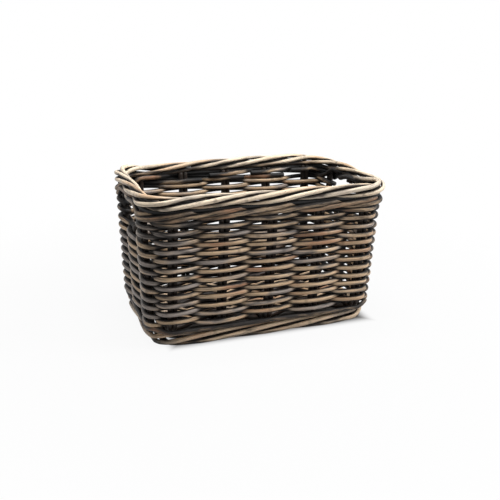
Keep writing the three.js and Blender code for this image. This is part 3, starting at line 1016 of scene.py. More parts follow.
class RattanGroups:
    """Shader node groups that all the rattan finishes share.

    Cells are frequencies per metre, along the rod and in both directions of its section. Limits are where
    an eased value starts to rise and where it is full.
    """

    FIBRE_CELLS = (28.0, 1500.0, 1500.0)
    BLOTCH_CELLS = (38.0, 230.0, 230.0)
    FLECK_CELLS = (260.0, 800.0, 800.0)
    CRACK_CELLS = (14.0, 900.0, 900.0)
    NOISE_MEAN = 0.5
    FLECK_LIMITS = (0.62, 0.72)
    CRACK_LIMITS = (0.62, 0.74)
    STREAK_LIMITS = (0.35, 0.68)
    TONE_LIMITS = (0.1, 1.8)
    BARE_LIT_LIMITS = (0.22, 1.02)
    DEEP_LIMITS = (0.0, 0.22)
    JOINT_LIMITS = (0.45, 0.95)
    CRACK_DEPTH = 0.5
    FLECK_DEPTH = 0.35
    BLOTCH_DEPTH = 0.4
    TONE_SWING = 3.2
    STREAK_STAIN = 0.38
    WEAR_SWING = 1.7
    STREAK_WEAR = 0.14
    JOINT_STAIN = 0.3
    FLECK_STAIN = 0.45
    ROUGHNESS = 0.50
    STREAK_ROUGH = 0.2
    WORN_SMOOTH = 0.16

    def __init__(self) -> None:
        """Builds both groups once."""
        self.grain = self._grain()
        self.weather = self._weather()

    @staticmethod
    def _sockets(tree: bpy.types.NodeTree, way: str, names: list[str], kind: str) -> None:
        """Adds named sockets of one kind to a group."""
        for name in names:
            tree.interface.new_socket(name=name, in_out=way, socket_type=kind)

    def _grain(self) -> bpy.types.NodeTree:
        """Fibres along the rod, long blotches, dark flecks and the height that they leave.

        Returns:
            The group.
        """
        tree = bpy.data.node_groups.new("Rattan grain", "ShaderNodeTree")
        self._sockets(tree, "INPUT", ["Rod Space"], "NodeSocketVector")
        self._sockets(tree, "OUTPUT", ["Fibre", "Blotch", "Fleck", "Height"], "NodeSocketFloat")
        maker = NodeMaker(tree)
        place = maker.add("NodeGroupInput").outputs["Rod Space"]
        output = maker.add("NodeGroupOutput")
        fibre = maker.noise(place, self.FIBRE_CELLS, detail=4.0)
        blotch = maker.noise(place, self.BLOTCH_CELLS, detail=5.0)
        fleck = maker.ease(maker.noise(place, self.FLECK_CELLS, detail=2.0), *self.FLECK_LIMITS)
        crack = maker.ease(maker.noise(place, self.CRACK_CELLS, detail=2.0), *self.CRACK_LIMITS)
        crack_depth = maker.math("MULTIPLY", crack, self.CRACK_DEPTH)
        low = maker.math("ADD", crack_depth, maker.math("MULTIPLY", fleck, self.FLECK_DEPTH))
        high = maker.math("ADD", fibre, maker.math("MULTIPLY", blotch, self.BLOTCH_DEPTH))
        height = maker.math("SUBTRACT", high, low)
        dark = maker.math("MAXIMUM", fleck, crack)
        for name, source in (("Fibre", fibre), ("Blotch", blotch), ("Fleck", dark), ("Height", height)):
            maker.feed(output.inputs[name], source)
        return tree

    def _weather(self) -> bpy.types.NodeTree:
        """Colour of weathered rattan: bare on worn, lit crests, stained and darkened by painted shade in
        shelter, and ringed at the joints.

        Returns:
            The group.
        """
        tree = bpy.data.node_groups.new("Weathered rattan", "ShaderNodeTree")
        values = ["Exposure", "Tone", "Joint", "Fibre", "Blotch", "Fleck"]
        self._sockets(tree, "INPUT", values, "NodeSocketFloat")
        self._sockets(tree, "INPUT", ["Bare", "Grey", "Warm", "Stain_And_Shade", "Deep"], "NodeSocketColor")
        self._sockets(tree, "OUTPUT", ["Color"], "NodeSocketColor")
        self._sockets(tree, "OUTPUT", ["Roughness"], "NodeSocketFloat")
        maker = NodeMaker(tree)
        given = maker.add("NodeGroupInput").outputs
        output = maker.add("NodeGroupOutput")
        uneven = maker.math("SUBTRACT", given["Blotch"], self.NOISE_MEAN)
        tone = maker.math("ADD", given["Tone"], maker.math("MULTIPLY", uneven, self.TONE_SWING))
        warmth = maker.ease(tone, *self.TONE_LIMITS)
        greyness = maker.ease(maker.math("MULTIPLY", tone, -1.0), *self.TONE_LIMITS)
        clean = maker.blend(warmth, given["Bare"], given["Warm"])
        clean = maker.blend(greyness, clean, given["Grey"])
        streak = maker.ease(given["Fibre"], *self.STREAK_LIMITS)
        lined = maker.blend(maker.math("MULTIPLY", streak, self.STREAK_STAIN), clean, given["Stain_And_Shade"])
        # Share of bare colour: low where the rod is stained and where shade is painted on it.
        worn = maker.math("ADD", given["Exposure"], maker.math("MULTIPLY", uneven, self.WEAR_SWING))
        worn = maker.math("SUBTRACT", worn, maker.math("MULTIPLY", streak, self.STREAK_WEAR))
        stained = maker.blend(maker.ease(worn, *self.BARE_LIT_LIMITS), given["Stain_And_Shade"], lined)
        # The deepest sheltered spots take the Deep colour, as painted shade.
        deep = maker.blend(maker.ease(given["Exposure"], *self.DEEP_LIMITS), given["Deep"], stained)
        ring = maker.math("MULTIPLY", maker.ease(given["Joint"], *self.JOINT_LIMITS), self.JOINT_STAIN)
        ringed = maker.blend(ring, deep, given["Stain_And_Shade"])
        flecked = maker.blend(maker.math("MULTIPLY", given["Fleck"], self.FLECK_STAIN), ringed, given["Deep"])
        maker.feed(output.inputs["Color"], flecked)
        smooth = maker.math("MULTIPLY", maker.ease(worn, 0.0, 1.0), self.WORN_SMOOTH)
        coarse = maker.math("ADD", self.ROUGHNESS, maker.math("MULTIPLY", streak, self.STREAK_ROUGH))
        rough = maker.math("SUBTRACT", coarse, smooth)
        maker.feed(output.inputs["Roughness"], rough)
        return tree


@dataclass(frozen=True)
class RattanFinish:
    """One shade of weathered rattan.

    Attributes:
        name: Name of the material.
        bare: Colour of clean rattan.
        grey: Colour where it has greyed.
        warm: Colour where it has stayed brown.
        stain_and_shade: Colour of sheltered rattan, where it is stained and where shade is painted, also used
            for streaks and joints.
        deep: Colour of the darkest cracks and flecks, and painted shade in the deepest hollows.
        grain_depth: Strength of the grain's relief.
        grain_height: Height of the grain's relief in millimetres.
        sheen: Level of the mirrored light.
    """

    name: str
    bare: Colour
    grey: Colour
    warm: Colour
    stain_and_shade: Colour
    deep: Colour
    grain_depth: float = 0.5
    grain_height: float = 0.6
    sheen: float = 0.3

    def build(self, groups: RattanGroups) -> bpy.types.Material:
        """Makes the material from the shared groups.

        Args:
            groups: The shared node groups.

        Returns:
            The material.
        """
        material = bpy.data.materials.new(self.name)
        material.use_nodes = True
        maker = NodeMaker(material.node_tree)
        shader = material.node_tree.nodes["Principled BSDF"]
        grain = maker.add("ShaderNodeGroup")
        grain.node_tree = groups.grain
        maker.feed(grain.inputs["Rod Space"], maker.attribute("rod_space").outputs["Vector"])
        weather = maker.add("ShaderNodeGroup")
        weather.node_tree = groups.weather
        for name in ("Exposure", "Tone", "Joint"):
            maker.feed(weather.inputs[name], maker.attribute(name.lower()).outputs["Fac"])
        for name in ("Fibre", "Blotch", "Fleck"):
            maker.feed(weather.inputs[name], grain.outputs[name])
        for name in ("Bare", "Grey", "Warm", "Stain_And_Shade", "Deep"):
            maker.feed(weather.inputs[name], getattr(self, name.lower()))
        bump = maker.add("ShaderNodeBump")
        bump.inputs["Strength"].default_value = self.grain_depth
        bump.inputs["Distance"].default_value = self.grain_height * MM
        maker.feed(bump.inputs["Height"], grain.outputs["Height"])
        maker.feed(shader.inputs["Base Color"], weather.outputs["Color"])
        maker.feed(shader.inputs["Roughness"], weather.outputs["Roughness"])
        maker.feed(shader.inputs["Normal"], bump.outputs["Normal"])
        shader.inputs["Specular IOR Level"].default_value = self.sheen
        return material


# Shades of rattan, one for each material slot
WEAVER_FINISH = RattanFinish(
    name="woven_rattan",
    bare=srgb(218, 187, 151),
    grey=srgb(168, 156, 147),
    warm=srgb(182, 136, 103),
    stain_and_shade=srgb(26, 21, 18),
    deep=srgb(8, 7, 7),
)
STAKE_FINISH = RattanFinish(
    name="stained_stake_rattan",
    bare=srgb(52, 40, 32),
    grey=srgb(42, 36, 32),
    warm=srgb(54, 36, 25),
    stain_and_shade=srgb(24, 19, 16),
    deep=srgb(12, 10, 9),
)
RIM_FINISH = RattanFinish(
    name="pale_rim_rattan",
    bare=srgb(250, 230, 202),
    grey=srgb(208, 194, 176),
    warm=srgb(222, 188, 152),
    stain_and_shade=srgb(46, 36, 29),
    deep=srgb(12, 10, 10),
)
FOOT_FINISH = RattanFinish(
    name="foot_rattan",
    bare=srgb(230, 203, 171),
    grey=srgb(186, 172, 158),
    warm=srgb(196, 156, 123),
    stain_and_shade=srgb(30, 24, 21),
    deep=srgb(10, 9, 9),
)

# Kinds of rod, in millimetres
WEAVER_LOOK = RodLook(
    diameter=7.6,
    sides=14,
    shelter=Shelter(-4.5, 2.5),
    # rim_shade, side_shade and the lower inside share on the end walls are painted shade.
    rim_shade=0.38,
    side_shade=0.16,
    end_shade=0.35,
    end_swell=0.06,
    grey_side=1.3,
    end_inside_shade=0.35,
)
FLOOR_LOOK = RodLook(diameter=6.8, sides=10, shelter=Shelter(-4.5, 2.5), step=3.5)
STAKE_LOOK = RodLook(diameter=8.0, sides=10, shelter=Shelter(1.0, 5.5), step=4.0, bow=0.12)
WALE_LOOK = RodLook(
    diameter=7.8,
    sides=14,
    shelter=Shelter(-4.5, 3.0),
    # rim_shade, side_shade and the lower inside share on the end walls are painted shade.
    rim_shade=0.32,
    side_shade=0.16,
    end_shade=0.3,
    inside_wear=0.7,
    end_inside_shade=0.85,
    tip_stain=45.0,
)
# The packing rod's shelter keeps it dark all over: painted shade in the gap under the rim, besides staining.
PACKING_LOOK = RodLook(diameter=7.6, sides=10, shelter=Shelter(7.0, 14.0), step=4.0)
RING_LOOK = RodLook(diameter=7.3, sides=12, shelter=Shelter(7.2, 14.2))
RIM_LOOK = RodLook(diameter=6.9, sides=14, shelter=Shelter(5.4, 9.7), bow=0.5, thickness_spread=0.05)
CORE_LOOK = RodLook(diameter=5.2, sides=10, shelter=Shelter(8.0, 16.0), step=5.0)
FOOT_LOOK = RodLook(diameter=7.2, sides=12, shelter=Shelter(2.8, 8.3), bow=0.2)


@dataclass
class RodWork:
    """Rods of one kind that are worked into the same walls."""

    wall: WallShape
    look: RodLook

    def rod(self, node: str, line: RodLine, steady: Steady, rng: np.random.Generator) -> RodPiece:
        """One rod along a line, in place of one node."""
        return RodPiece(node, [RodSurface(line, self.look, steady, rng)])

    def build(self, rng: np.random.Generator) -> list[RodPiece]:
        """All the pieces of one kind of work."""
        raise NotImplementedError


@dataclass
class StakeFrame(RodWork):
    """Double stakes that run up one wall, under the floor and up the other wall."""

    look: RodLook = STAKE_LOOK
    rounding: float = 3.0
    stub_rise: float = 5.5
    bend_spots: int = 13
    wall_spots: int = 60
    floor_spots: int = 120
    stub_spots: int = 9

    def _bent(self, reach: float, floor: float, radius: float) -> tuple[Array, Array]:
        """A quarter circle from the floor up into a wall."""
        angle = np.linspace(0.0, math.pi / 2.0, self.bend_spots)
        return reach - radius * (1.0 - np.sin(angle)), floor + radius * (1.0 - np.cos(angle))

    def _half(self, side: int, floor: float, radius: float, top: float) -> tuple[Array, Array]:
        """Reach and height from the floor's bend to the stake's top.

        Args:
            side: Direction of the reach: 0 along the basket, 1 across it.
            floor: Height of the floor's run.
            radius: Radius of the bend.
            top: Height of the stake's top.

        Returns:
            Reach and height of each spot.
        """
        foot = floor + radius
        reach, height = self._bent(self.wall.halves(foot)[0, side], floor, radius)
        up = np.linspace(foot, top, self.wall_spots)[1:]
        return np.concatenate([reach, self.wall.halves(up)[:, side]]), np.concatenate([height, up])

    def cross_line(self, x: float) -> RodLine:
        """Line of a stake from the front wall under the floor to the back wall.

        Args:
            x: Place along the basket.

        Returns:
            The even line.
        """
        sizes = self.wall.sizes
        reach, height = self._half(1, sizes.base_level, sizes.cross_bend, sizes.stake_top)
        y = np.concatenate([-reach[::-1], reach])
        z = np.concatenate([height[::-1], height])
        points = np.column_stack([np.full(len(y), x), y, z])
        return RodLine(points, points).even(self.look.step, self.rounding)

    def long_line(self, y: float, top: float) -> RodLine:
        """Line of a stake from the left wall, under and over the cross stakes, to the right wall.

        On the floor its height is base - crest cos(pi x / spacing).

        Args:
            y: Place across the basket.
            top: Height of both ends.

        Returns:
            The even line.
        """
        sizes = self.wall.sizes
        crest = (sizes.stake_diameter + sizes.rod_gap) / (1.0 - 2.0 * sizes.pair_offset / sizes.long_spacing)
        reach, height = self._half(0, sizes.base_level - crest, sizes.long_bend, top)
        outer = sizes.long_spacing * (sizes.long_wall_stakes - 1) / 2.0
        floor_x = np.linspace(-outer, outer, self.floor_spots)
        floor_z = sizes.base_level - crest * np.cos(math.pi * floor_x / sizes.long_spacing)
        keep = reach > outer
        x = np.concatenate([-reach[keep][::-1], floor_x, reach[keep]])
        z = np.concatenate([height[keep][::-1], floor_z, height[keep]])
        points = np.column_stack([x, np.full(len(x), y), z])
        return RodLine(points, points).even(self.look.step, self.rounding)

    def stub_line(self, end: int, y: float) -> RodLine:
        """Line of a cut-off stake top that stays in the wale above a hand hole.

        Args:
            end: End wall, -1 for the left and 1 for the right.
            y: Place across the basket.

        Returns:
            The even line.
        """
        sizes = self.wall.sizes
        low = sizes.wale_middle - sizes.wale_crossing + self.stub_rise
        z = np.linspace(low, sizes.stake_top, self.stub_spots)
        points = np.column_stack([end * self.wall.halves(z)[:, 0], np.full(len(z), y), z])
        return RodLine(points, points).even(self.look.step)

    def build(self, rng: np.random.Generator) -> list[RodPiece]:
        """All the stakes and stake tops.

        Args:
            rng: Source of the rods' unevenness.

        Returns:
            One piece for each node.
        """
        sizes = self.wall.sizes
        pieces = []
        for pair in range(sizes.long_wall_stakes):
            pair_x = sizes.long_spacing * (pair - (sizes.long_wall_stakes - 1) / 2.0)
            for side, name in ((-1, "left"), (1, "right")):
                line = self.cross_line(pair_x + side * sizes.pair_offset)
                pieces.append(self.rod(f"cross_stake_{pair + 1}_{name}", line, Steady.ALONG, rng))
        middle = (sizes.end_wall_stakes - 1) // 2
        hole_floor = sizes.row_height(sizes.full_rows - 1) + sizes.weaver_diameter / 2.0
        for pair in range(sizes.end_wall_stakes):
            top = hole_floor if pair == middle else sizes.stake_top
            for side, name in ((-1, "front"), (1, "back")):
                line = self.long_line(sizes.end_spacing * (pair - middle) + side * sizes.pair_offset, top)
                pieces.append(self.rod(f"long_stake_{pair + 1}_{name}", line, Steady.ACROSS, rng))
        for end, end_name in ((-1, "left"), (1, "right")):
            for side, name in ((-1, "front"), (1, "back")):
                line = self.stub_line(end, side * sizes.pair_offset)
                pieces.append(self.rod(f"stub_{end_name}_{name}", line, Steady.ALONG, rng))
        return pieces


@dataclass
class FloorWeave(RodWork):
    """Rods that run to and fro between the long stakes, over and under the cross stakes."""

    look: RodLook = FLOOR_LOOK
    rounding: float = 1.5
    crest: float = 7.5
    pass_spots: int = 160

    def line(self, bay: int) -> RodLine:
        """Line of one bay's rod, which turns back in a half circle after each pass.

        Its height is base + crest cos(pi (x / spacing + pass)).

        Args:
            bay: Half of the floor, -1 for the front and 1 for the back.

        Returns:
            The even line, whose core lies at the floor's middle.
        """
        sizes = self.wall.sizes
        edge = sizes.pair_offset + (sizes.stake_diameter + sizes.weaver_diameter) / 2.0 + sizes.rod_gap
        width = sizes.end_spacing - 2.0 * edge
        passes = int(width // (sizes.weaver_diameter + sizes.floor_gap)) + 1
        pitch = width / (passes - 1)
        outer = (sizes.long_wall_stakes - 1) // 2
        reach, aside, climb = half_turn(self.crest)
        past = outer * sizes.long_spacing + sizes.pair_offset + reach
        parts = []
        for number in range(passes):
            way = 1 if number % 2 == 0 else -1
            turn = way * np.linspace(-outer, outer, self.pass_spots)
            wave = self.crest * np.cos(math.pi * (turn + number))
            across = np.full(self.pass_spots, float(number))
            parts.append(np.column_stack([turn * sizes.long_spacing, across, wave]))
            if number < passes - 1:
                side = 1 if (outer + number) % 2 == 0 else -1
                parts.append(np.column_stack([way * past, number + climb, side * aside]))
        x, across, wave = np.concatenate(parts).T
        points = np.column_stack([x, bay * (edge + across * pitch), sizes.base_level + wave])
        core = points.copy()
        core[:, 2] = sizes.base_level
        upward = np.tile(np.array(Steady.UP.value), (len(points), 1))
        return RodLine(points, core, upward).even(self.look.step, self.rounding)

    def build(self, rng: np.random.Generator) -> list[RodPiece]:
        """One piece for each bay of the floor."""
        bays = ((-1, "front"), (1, "back"))
        return [self.rod(f"base_weaver_{name}", self.line(bay), Steady.ACROSS, rng) for bay, name in bays]


@dataclass
class WallWeave(RodWork):
    """Plain weave of single rods, each over one stake pair and under the next."""

    look: RodLook = WEAVER_LOOK
    crest: float = 7.8
    corner_crest: float = 8.2
    edge_turn: float = 7.4
    flat: float = 0.15
    arch: float = 0.5
    end_drop: float = 2.5
    samples: int = 48
    rounding: float = 1.5
    row_wander: float = 0.55
    wander_spacing: float = 0.8
    trim: int = 1

    def _wave(self, turn: Array, row: int) -> Array:
        """Distance outside the wall's middle: -crest (c + flat (c - c^3) / 2), c = cos(pi (turn + row)).

        Args:
            turn: Place round the basket, counted in stakes.
            row: Row, counted from zero.

        Returns:
            One distance for each place.
        """
        cosine = np.cos(math.pi * (turn + row))
        crest = self.wall.crests(turn, self.crest, self.corner_crest)
        return -crest * (cosine + self.flat * (cosine - cosine**3) / 2.0)

    def row_line(self, row: int, first: int, rng: np.random.Generator) -> RodLine:
        """Line of a full row that starts and ends on the inside of one stake.

        The row arches by arch cos^2(pi turn) at the stakes, and lies lower on the end walls.

        Args:
            row: Row, counted from zero.
            first: Stake at which the rod starts.
            rng: Source of the row's small changes of height.

        Returns:
            The even line, without its outermost spots.
        """
        turn = self.wall.once_round(first, self.samples)
        height = self.wall.sizes.row_height(row) + self.row_wander * wander(turn, self.wander_spacing, rng)
        height = height + self.arch * np.cos(math.pi * turn) ** 2
        line = self.wall.line(turn, self._wave(turn, row), height)
        line.points[:, 2] -= self.end_drop * line.outward[:, 0] ** 2
        line = line.even(self.look.step)
        kept = slice(self.trim, -self.trim)
        return RodLine(line.points[kept], line.core[kept], line.outward[kept])

    def hole_line(self, first: int, last: int) -> RodLine:
        """Line of the rod beside the hand holes, which turns back round the stakes at the holes' edges.

        Args:
            first: Stake at one hole's edge.
            last: Stake at the other hole's edge.

        Returns:
            The even line.
        """
        sizes = self.wall.sizes
        reach, aside, climb = half_turn(self.edge_turn)
        past = (sizes.pair_offset + reach) / sizes.end_spacing
        parts = []
        for number in range(sizes.hole_rows):
            row = sizes.full_rows + number
            way = 1 if number % 2 == 0 else -1
            begin, end = (first, last) if way > 0 else (last, first)
            turn = np.linspace(begin, end, (last - first) * self.samples + 1)
            parts.append(np.column_stack([turn, self._wave(turn, row), np.full(len(turn), float(row))]))
            if number < sizes.hole_rows - 1:
                side = 1 if (end + row) % 2 == 1 else -1
                parts.append(np.column_stack([end + way * past, side * aside, row + climb]))
        turn, out, rows = np.concatenate(parts).T
        return self.wall.line(turn, out, sizes.row_height(rows)).even(self.look.step, self.rounding)

    def build(self, rng: np.random.Generator) -> list[RodPiece]:
        """The full rows from the floor up, and then the two rods beside the hand holes.

        Args:
            rng: Source of the rods' unevenness.

        Returns:
            One piece for each node.
        """
        sizes = self.wall.sizes
        pieces = []
        for row in range(sizes.full_rows):
            inside = [stake for stake in range(sizes.long_wall_stakes) if (stake + row) % 2 == 0]
            first = int(rng.choice(inside))
            line = self.row_line(row, first, rng)
            pieces.append(self.rod(f"weaver_row_{row + 1}", line, Steady.UP, rng))
        spans = {
            "front": (sizes.stakes - 1, sizes.stakes + sizes.long_wall_stakes),
            "back": (sizes.back_stake - 1, sizes.back_stake + sizes.long_wall_stakes),
        }
        for name, (first, last) in spans.items():
            pieces.append(self.rod(f"hole_weaver_{name}", self.hole_line(first, last), Steady.UP, rng))
        return pieces


@dataclass
class UpsettRing(RodWork):
    """Single rod that sets the stakes upright, between the foot and the first row."""

    look: RodLook = RING_LOOK
    corner_rise: float = 4.5
    samples: int = 48

    def line(self) -> RodLine:
        """Line outside the stakes' bends, which stands higher at the corners.

        Where the outward direction is (x, y), the line rises by corner_rise (2 x y)^2.

        Returns:
            The even line.
        """
        sizes = self.wall.sizes
        line = self.wall.ring(sizes.upsett_out, sizes.upsett_level, self.samples)
        line.points[:, 2] += self.corner_rise * (2.0 * line.outward[:, 0] * line.outward[:, 1]) ** 2
        return line.even_all_round(self.look.step)

    def build(self, rng: np.random.Generator) -> list[RodPiece]:
        """The ring as one piece."""
        return [self.rod("upsett_ring", self.line(), Steady.UP, rng)]


@dataclass
class TopWale(RodWork):
    """Three rods that each pass behind one stake pair and in front of two, climbing on the outside."""

    look: RodLook = WALE_LOOK
    rods: int = 3
    crest: float = 7.7
    corner_crest: float = 8.2
    lift: float = -0.6
    end_lift: float = 6.5
    lift_from: float = 50.0
    lift_to: float = 74.0
    end_drop: float = 5.0
    tail: float = 0.4
    end_settle: float = 0.45
    bump_settle: float = 0.9
    packing: RodLook = PACKING_LOOK
    packing_out: float = 3.5
    packing_drop: float = 1.6
    samples: int = 48

    def line(self, rod: int) -> RodLine:
        """Line of one rod over a period of three stakes, with t = 2 pi stakes / 3.

        Outward it is crest (1 - 3 cos t - cos 2t) / 3. Its rise is the sum of a sine of t and a sine of 2t
        that passes through the steps at the stakes and the crossings between them, and on the inside the
        rod is lifted by inside_rise cos^2 (3t / 2). Both ends run on inside the wall, one below the other.
        On the end walls the rod stands higher over the hand hole and lower beside it.

        Args:
            rod: Which rod of the wale it is.

        Returns:
            The even line with its outward direction.
        """
        sizes = self.wall.sizes
        first = sizes.back_stake + 1 + rod
        span = sizes.stakes - sizes.stakes % self.rods
        steps = np.linspace(-self.tail, span + self.tail, span * self.samples + 1)
        turn = first + steps
        phase = TAU * np.clip(steps, 0.0, span) / self.rods
        crest = self.wall.crests(turn, self.crest, self.corner_crest)
        out = crest * (1.0 - 3.0 * np.cos(phase) - np.cos(2.0 * phase)) / 3.0
        slow = -(sizes.wale_crossing + sizes.wale_step) / math.sqrt(3.0)
        fast = -(sizes.wale_crossing - sizes.wale_step) / math.sqrt(3.0)
        rise = slow * np.sin(phase) + fast * np.sin(2.0 * phase)
        begin = -sizes.wale_step * (1.0 - smoothstep(0.0, self.end_settle, steps))
        end = sizes.wale_step * smoothstep(span - self.end_settle, span, steps)
        inside = np.abs((phase + math.pi) % TAU - math.pi)
        bump = np.where(inside < math.pi / 3.0, np.cos(1.5 * inside) ** 2, 0.0)
        bump = bump * smoothstep(0.0, self.bump_settle, steps)
        bump = bump * smoothstep(0.0, self.bump_settle, span - steps)
        height = sizes.wale_middle + self.lift + rise + begin + end + sizes.wale_inside_rise * bump
        line = self.wall.line(turn, out, height)
        hole = 1.0 - smoothstep(self.lift_from, self.lift_to, np.abs(line.core[:, 1]))
        raised = self.end_lift * hole - self.end_drop * (1.0 - hole)
        line.points[:, 2] += raised * line.outward[:, 0] ** 2
        return line.even(self.look.step)

    def packing_line(self) -> RodLine:
        """Line of the dark rod between the wale and the rim, all round the basket, whose darkness is painted
        shade as well as staining.
        """
        height = self.wall.sizes.stake_top - self.packing_drop
        return self.wall.ring(self.packing_out, height, self.samples).even_all_round(self.packing.step)

    def build(self, rng: np.random.Generator) -> list[RodPiece]:
        """One piece for each wale rod, the first with the rod that packs the wale against the rim.

        Args:
            rng: Source of the rods' unevenness.

        Returns:
            One piece for each node.
        """
        pieces = [self.rod(f"top_wale_{rod + 1}", self.line(rod), Steady.UP, rng) for rod in range(self.rods)]
        pieces[0].surfaces.append(RodSurface(self.packing_line(), self.packing, Steady.UP, rng))
        return pieces


@dataclass
class RimBorder(RodWork):
    """Rolled border: strands that climb the outside, cross the top and go down the inside."""

    look: RodLook = RIM_LOOK
    samples: int = 60
    unevenness: float = 0.6
    wander_spacing: float = 0.9
    dips: tuple[Bell, ...] = (Bell(5.4, 3.0, 0.8), Bell(7.2, 4.0, 0.5), Bell(11.6, 4.5, 0.6))
    shelter_share: float = 0.65
    shelter_drop: float = 6.0
    shelter_from: float = -2.0
    shelter_to: float = 3.0

    def line(self, strand: int, rng: np.random.Generator) -> RodLine:
        """Line of one strand: a helix round the rim's middle line, whose ends meet below it at the back.

        The rim has sunk by the sum of the dips, which are bells round the basket.

        Args:
            strand: Which strand of the twist it is.
            rng: Source of the helix's small changes of radius.

        Returns:
            The even line, whose core is the rim's middle line.
        """
        sizes = self.wall.sizes
        first = sizes.stakes - sizes.end_wall_stakes - 2 - strand
        turn = self.wall.once_round(first, self.samples)
        angle = TAU * (turn + strand) / sizes.rim_strands + sizes.rim_phase
        radius = sizes.rim_twist + self.unevenness * wander(turn, self.wander_spacing, rng)
        sunk = bells(turn, self.dips, sizes.stakes)
        height = sizes.rim_middle + radius * np.sin(angle) - sunk
        helix = self.wall.line(turn, radius * np.cos(angle), height, sizes.rim_halves)
        helix.core[:, 2] = sizes.rim_middle - sunk
        return helix.even_all_round(self.look.step)

    def _sheltered(self, vertices: Array) -> Array:
        """Share of painted shade, with staining: one below the rim's middle line on the side that looks into
        the basket.

        Args:
            vertices: Places in millimetres.

        Returns:
            One share for each place.
        """
        sizes = self.wall.sizes
        inward = np.min(sizes.rim_halves - np.abs(vertices[:, 0:2]), axis=1)
        below = smoothstep(0.0, self.shelter_drop, sizes.rim_middle - vertices[:, 2])
        return below * smoothstep(self.shelter_from, self.shelter_to, inward)

    def build(self, rng: np.random.Generator) -> list[RodPiece]:
        """One piece for each strand, darker on its lower inner side, where painted shade and staining lie
        under the rim.

        Args:
            rng: Source of the strands' unevenness.

        Returns:
            One piece for each node.
        """
        pieces = []
        for strand in range(self.wall.sizes.rim_strands):
            surface = RodSurface(self.line(strand, rng), self.look, Steady.UP, rng)
            # Painted shade, with staining, on the rim's inner lower side.
            sheltered = self.shelter_share * self._sheltered(surface.vertices)
            surface.exposure = surface.exposure * (1.0 - sheltered)
            pieces.append(RodPiece(f"rim_strand_{strand + 1}", [surface]))
        return pieces


@dataclass
class RimCore(RodWork):
    """Dark rod inside the rim's twist."""

    look: RodLook = CORE_LOOK
    samples: int = 48

    def line(self) -> RodLine:
        """Middle line of the rim, all round the basket.

        Returns:
            The even line.
        """
        sizes = self.wall.sizes
        ring = self.wall.ring(0.0, sizes.rim_middle, self.samples, sizes.rim_halves)
        return ring.even_all_round(self.look.step)

    def build(self, rng: np.random.Generator) -> list[RodPiece]:
        """The core as one piece."""
        return [self.rod("rim_core", self.line(), Steady.UP, rng)]


@dataclass
class FootBorder(RodWork):
    """Tall twist of strands that the basket stands on."""

    look: RodLook = FOOT_LOOK
    samples: int = 48
    turns: int = 3
    phase: float = -0.41
    loose: tuple[Bell, ...] = (Bell(0.35, 3.0, 0.4),)
    tucks: tuple[Bell, ...] = (Bell(15.5, 8.5, 0.4), Bell(4.5, 6.0, 0.4))
    ground_shade_height: float = 10.0
    least_ground_light: float = 0.35

    def line(self, strand: int) -> RodLine:
        """Line of one strand: out = width cos a and height = middle + rise sin a + lean out.

        The angle a makes the given number of turns round the basket. Where the twist is loose its upper
        strands stand higher, and at the tucks it is pulled in, by sums of bells round the basket.

        Args:
            strand: Which strand of the twist it is.

        Returns:
            The even line, whose core is the twist's middle line.
        """
        sizes = self.wall.sizes
        first = sizes.back_stake + 1 + (sizes.foot_strands - strand) % sizes.foot_strands
        turn = self.wall.once_round(first, self.samples)
        angle = TAU * (self.turns * turn / sizes.stakes + strand / sizes.foot_strands) + self.phase
        out = sizes.foot_twist * np.cos(angle)
        height = sizes.foot_middle + sizes.foot_twist_height * np.sin(angle) + sizes.foot_lean * out
        height = height + bells(turn, self.loose, sizes.stakes) * (1.0 + np.sin(angle)) / 2.0
        tucked = bells(turn, self.tucks, sizes.stakes)
        level = np.full(len(turn), sizes.foot_middle)
        helix = self.wall.line(turn, out - tucked, height, sizes.foot_halves)
        middle = self.wall.line(turn, -tucked, level, sizes.foot_halves)
        return RodLine(helix.points, middle.points).even(self.look.step)

    def build(self, rng: np.random.Generator) -> list[RodPiece]:
        """One piece for each strand, with painted shade near the ground, and worn flat where it stands on it.

        Args:
            rng: Source of the strands' unevenness.

        Returns:
            One piece for each node.
        """
        pieces = []
        for strand in range(self.wall.sizes.foot_strands):
            surface = RodSurface(self.line(strand), self.look, Steady.UP, rng)
            height = surface.vertices[:, 2]
            # Painted shade that deepens towards the ground.
            wear = self.least_ground_light + (1.0 - self.least_ground_light) * smoothstep(0.0, self.ground_shade_height, height)
            surface.exposure = surface.exposure * wear
            surface.vertices[:, 2] = np.maximum(height, 0.0)
            pieces.append(RodPiece(f"foot_strand_{strand + 1}", [surface]))
        return pieces


@dataclass(frozen=True)
class Lamp:
    """Square soft lamp: its place, the length of its sides and its power in watts."""

    name: str
    spot: Triple
    size: float
    power: float

    def build(self, target: Vector) -> None:
        """Places the lamp so that it looks at a target.

        Args:
            target: Spot to look at, in metres.
        """
        data = bpy.data.lights.new(self.name, "AREA")
        data.size = self.size
        data.energy = self.power
        lamp = bpy.data.objects.new(self.name, data)
        bpy.context.scene.collection.objects.link(lamp)
        lamp.location = self.spot
        lamp.rotation_mode = "QUATERNION"
        lamp.rotation_quaternion = (target - Vector(self.spot)).to_track_quat("-Z", "Y")


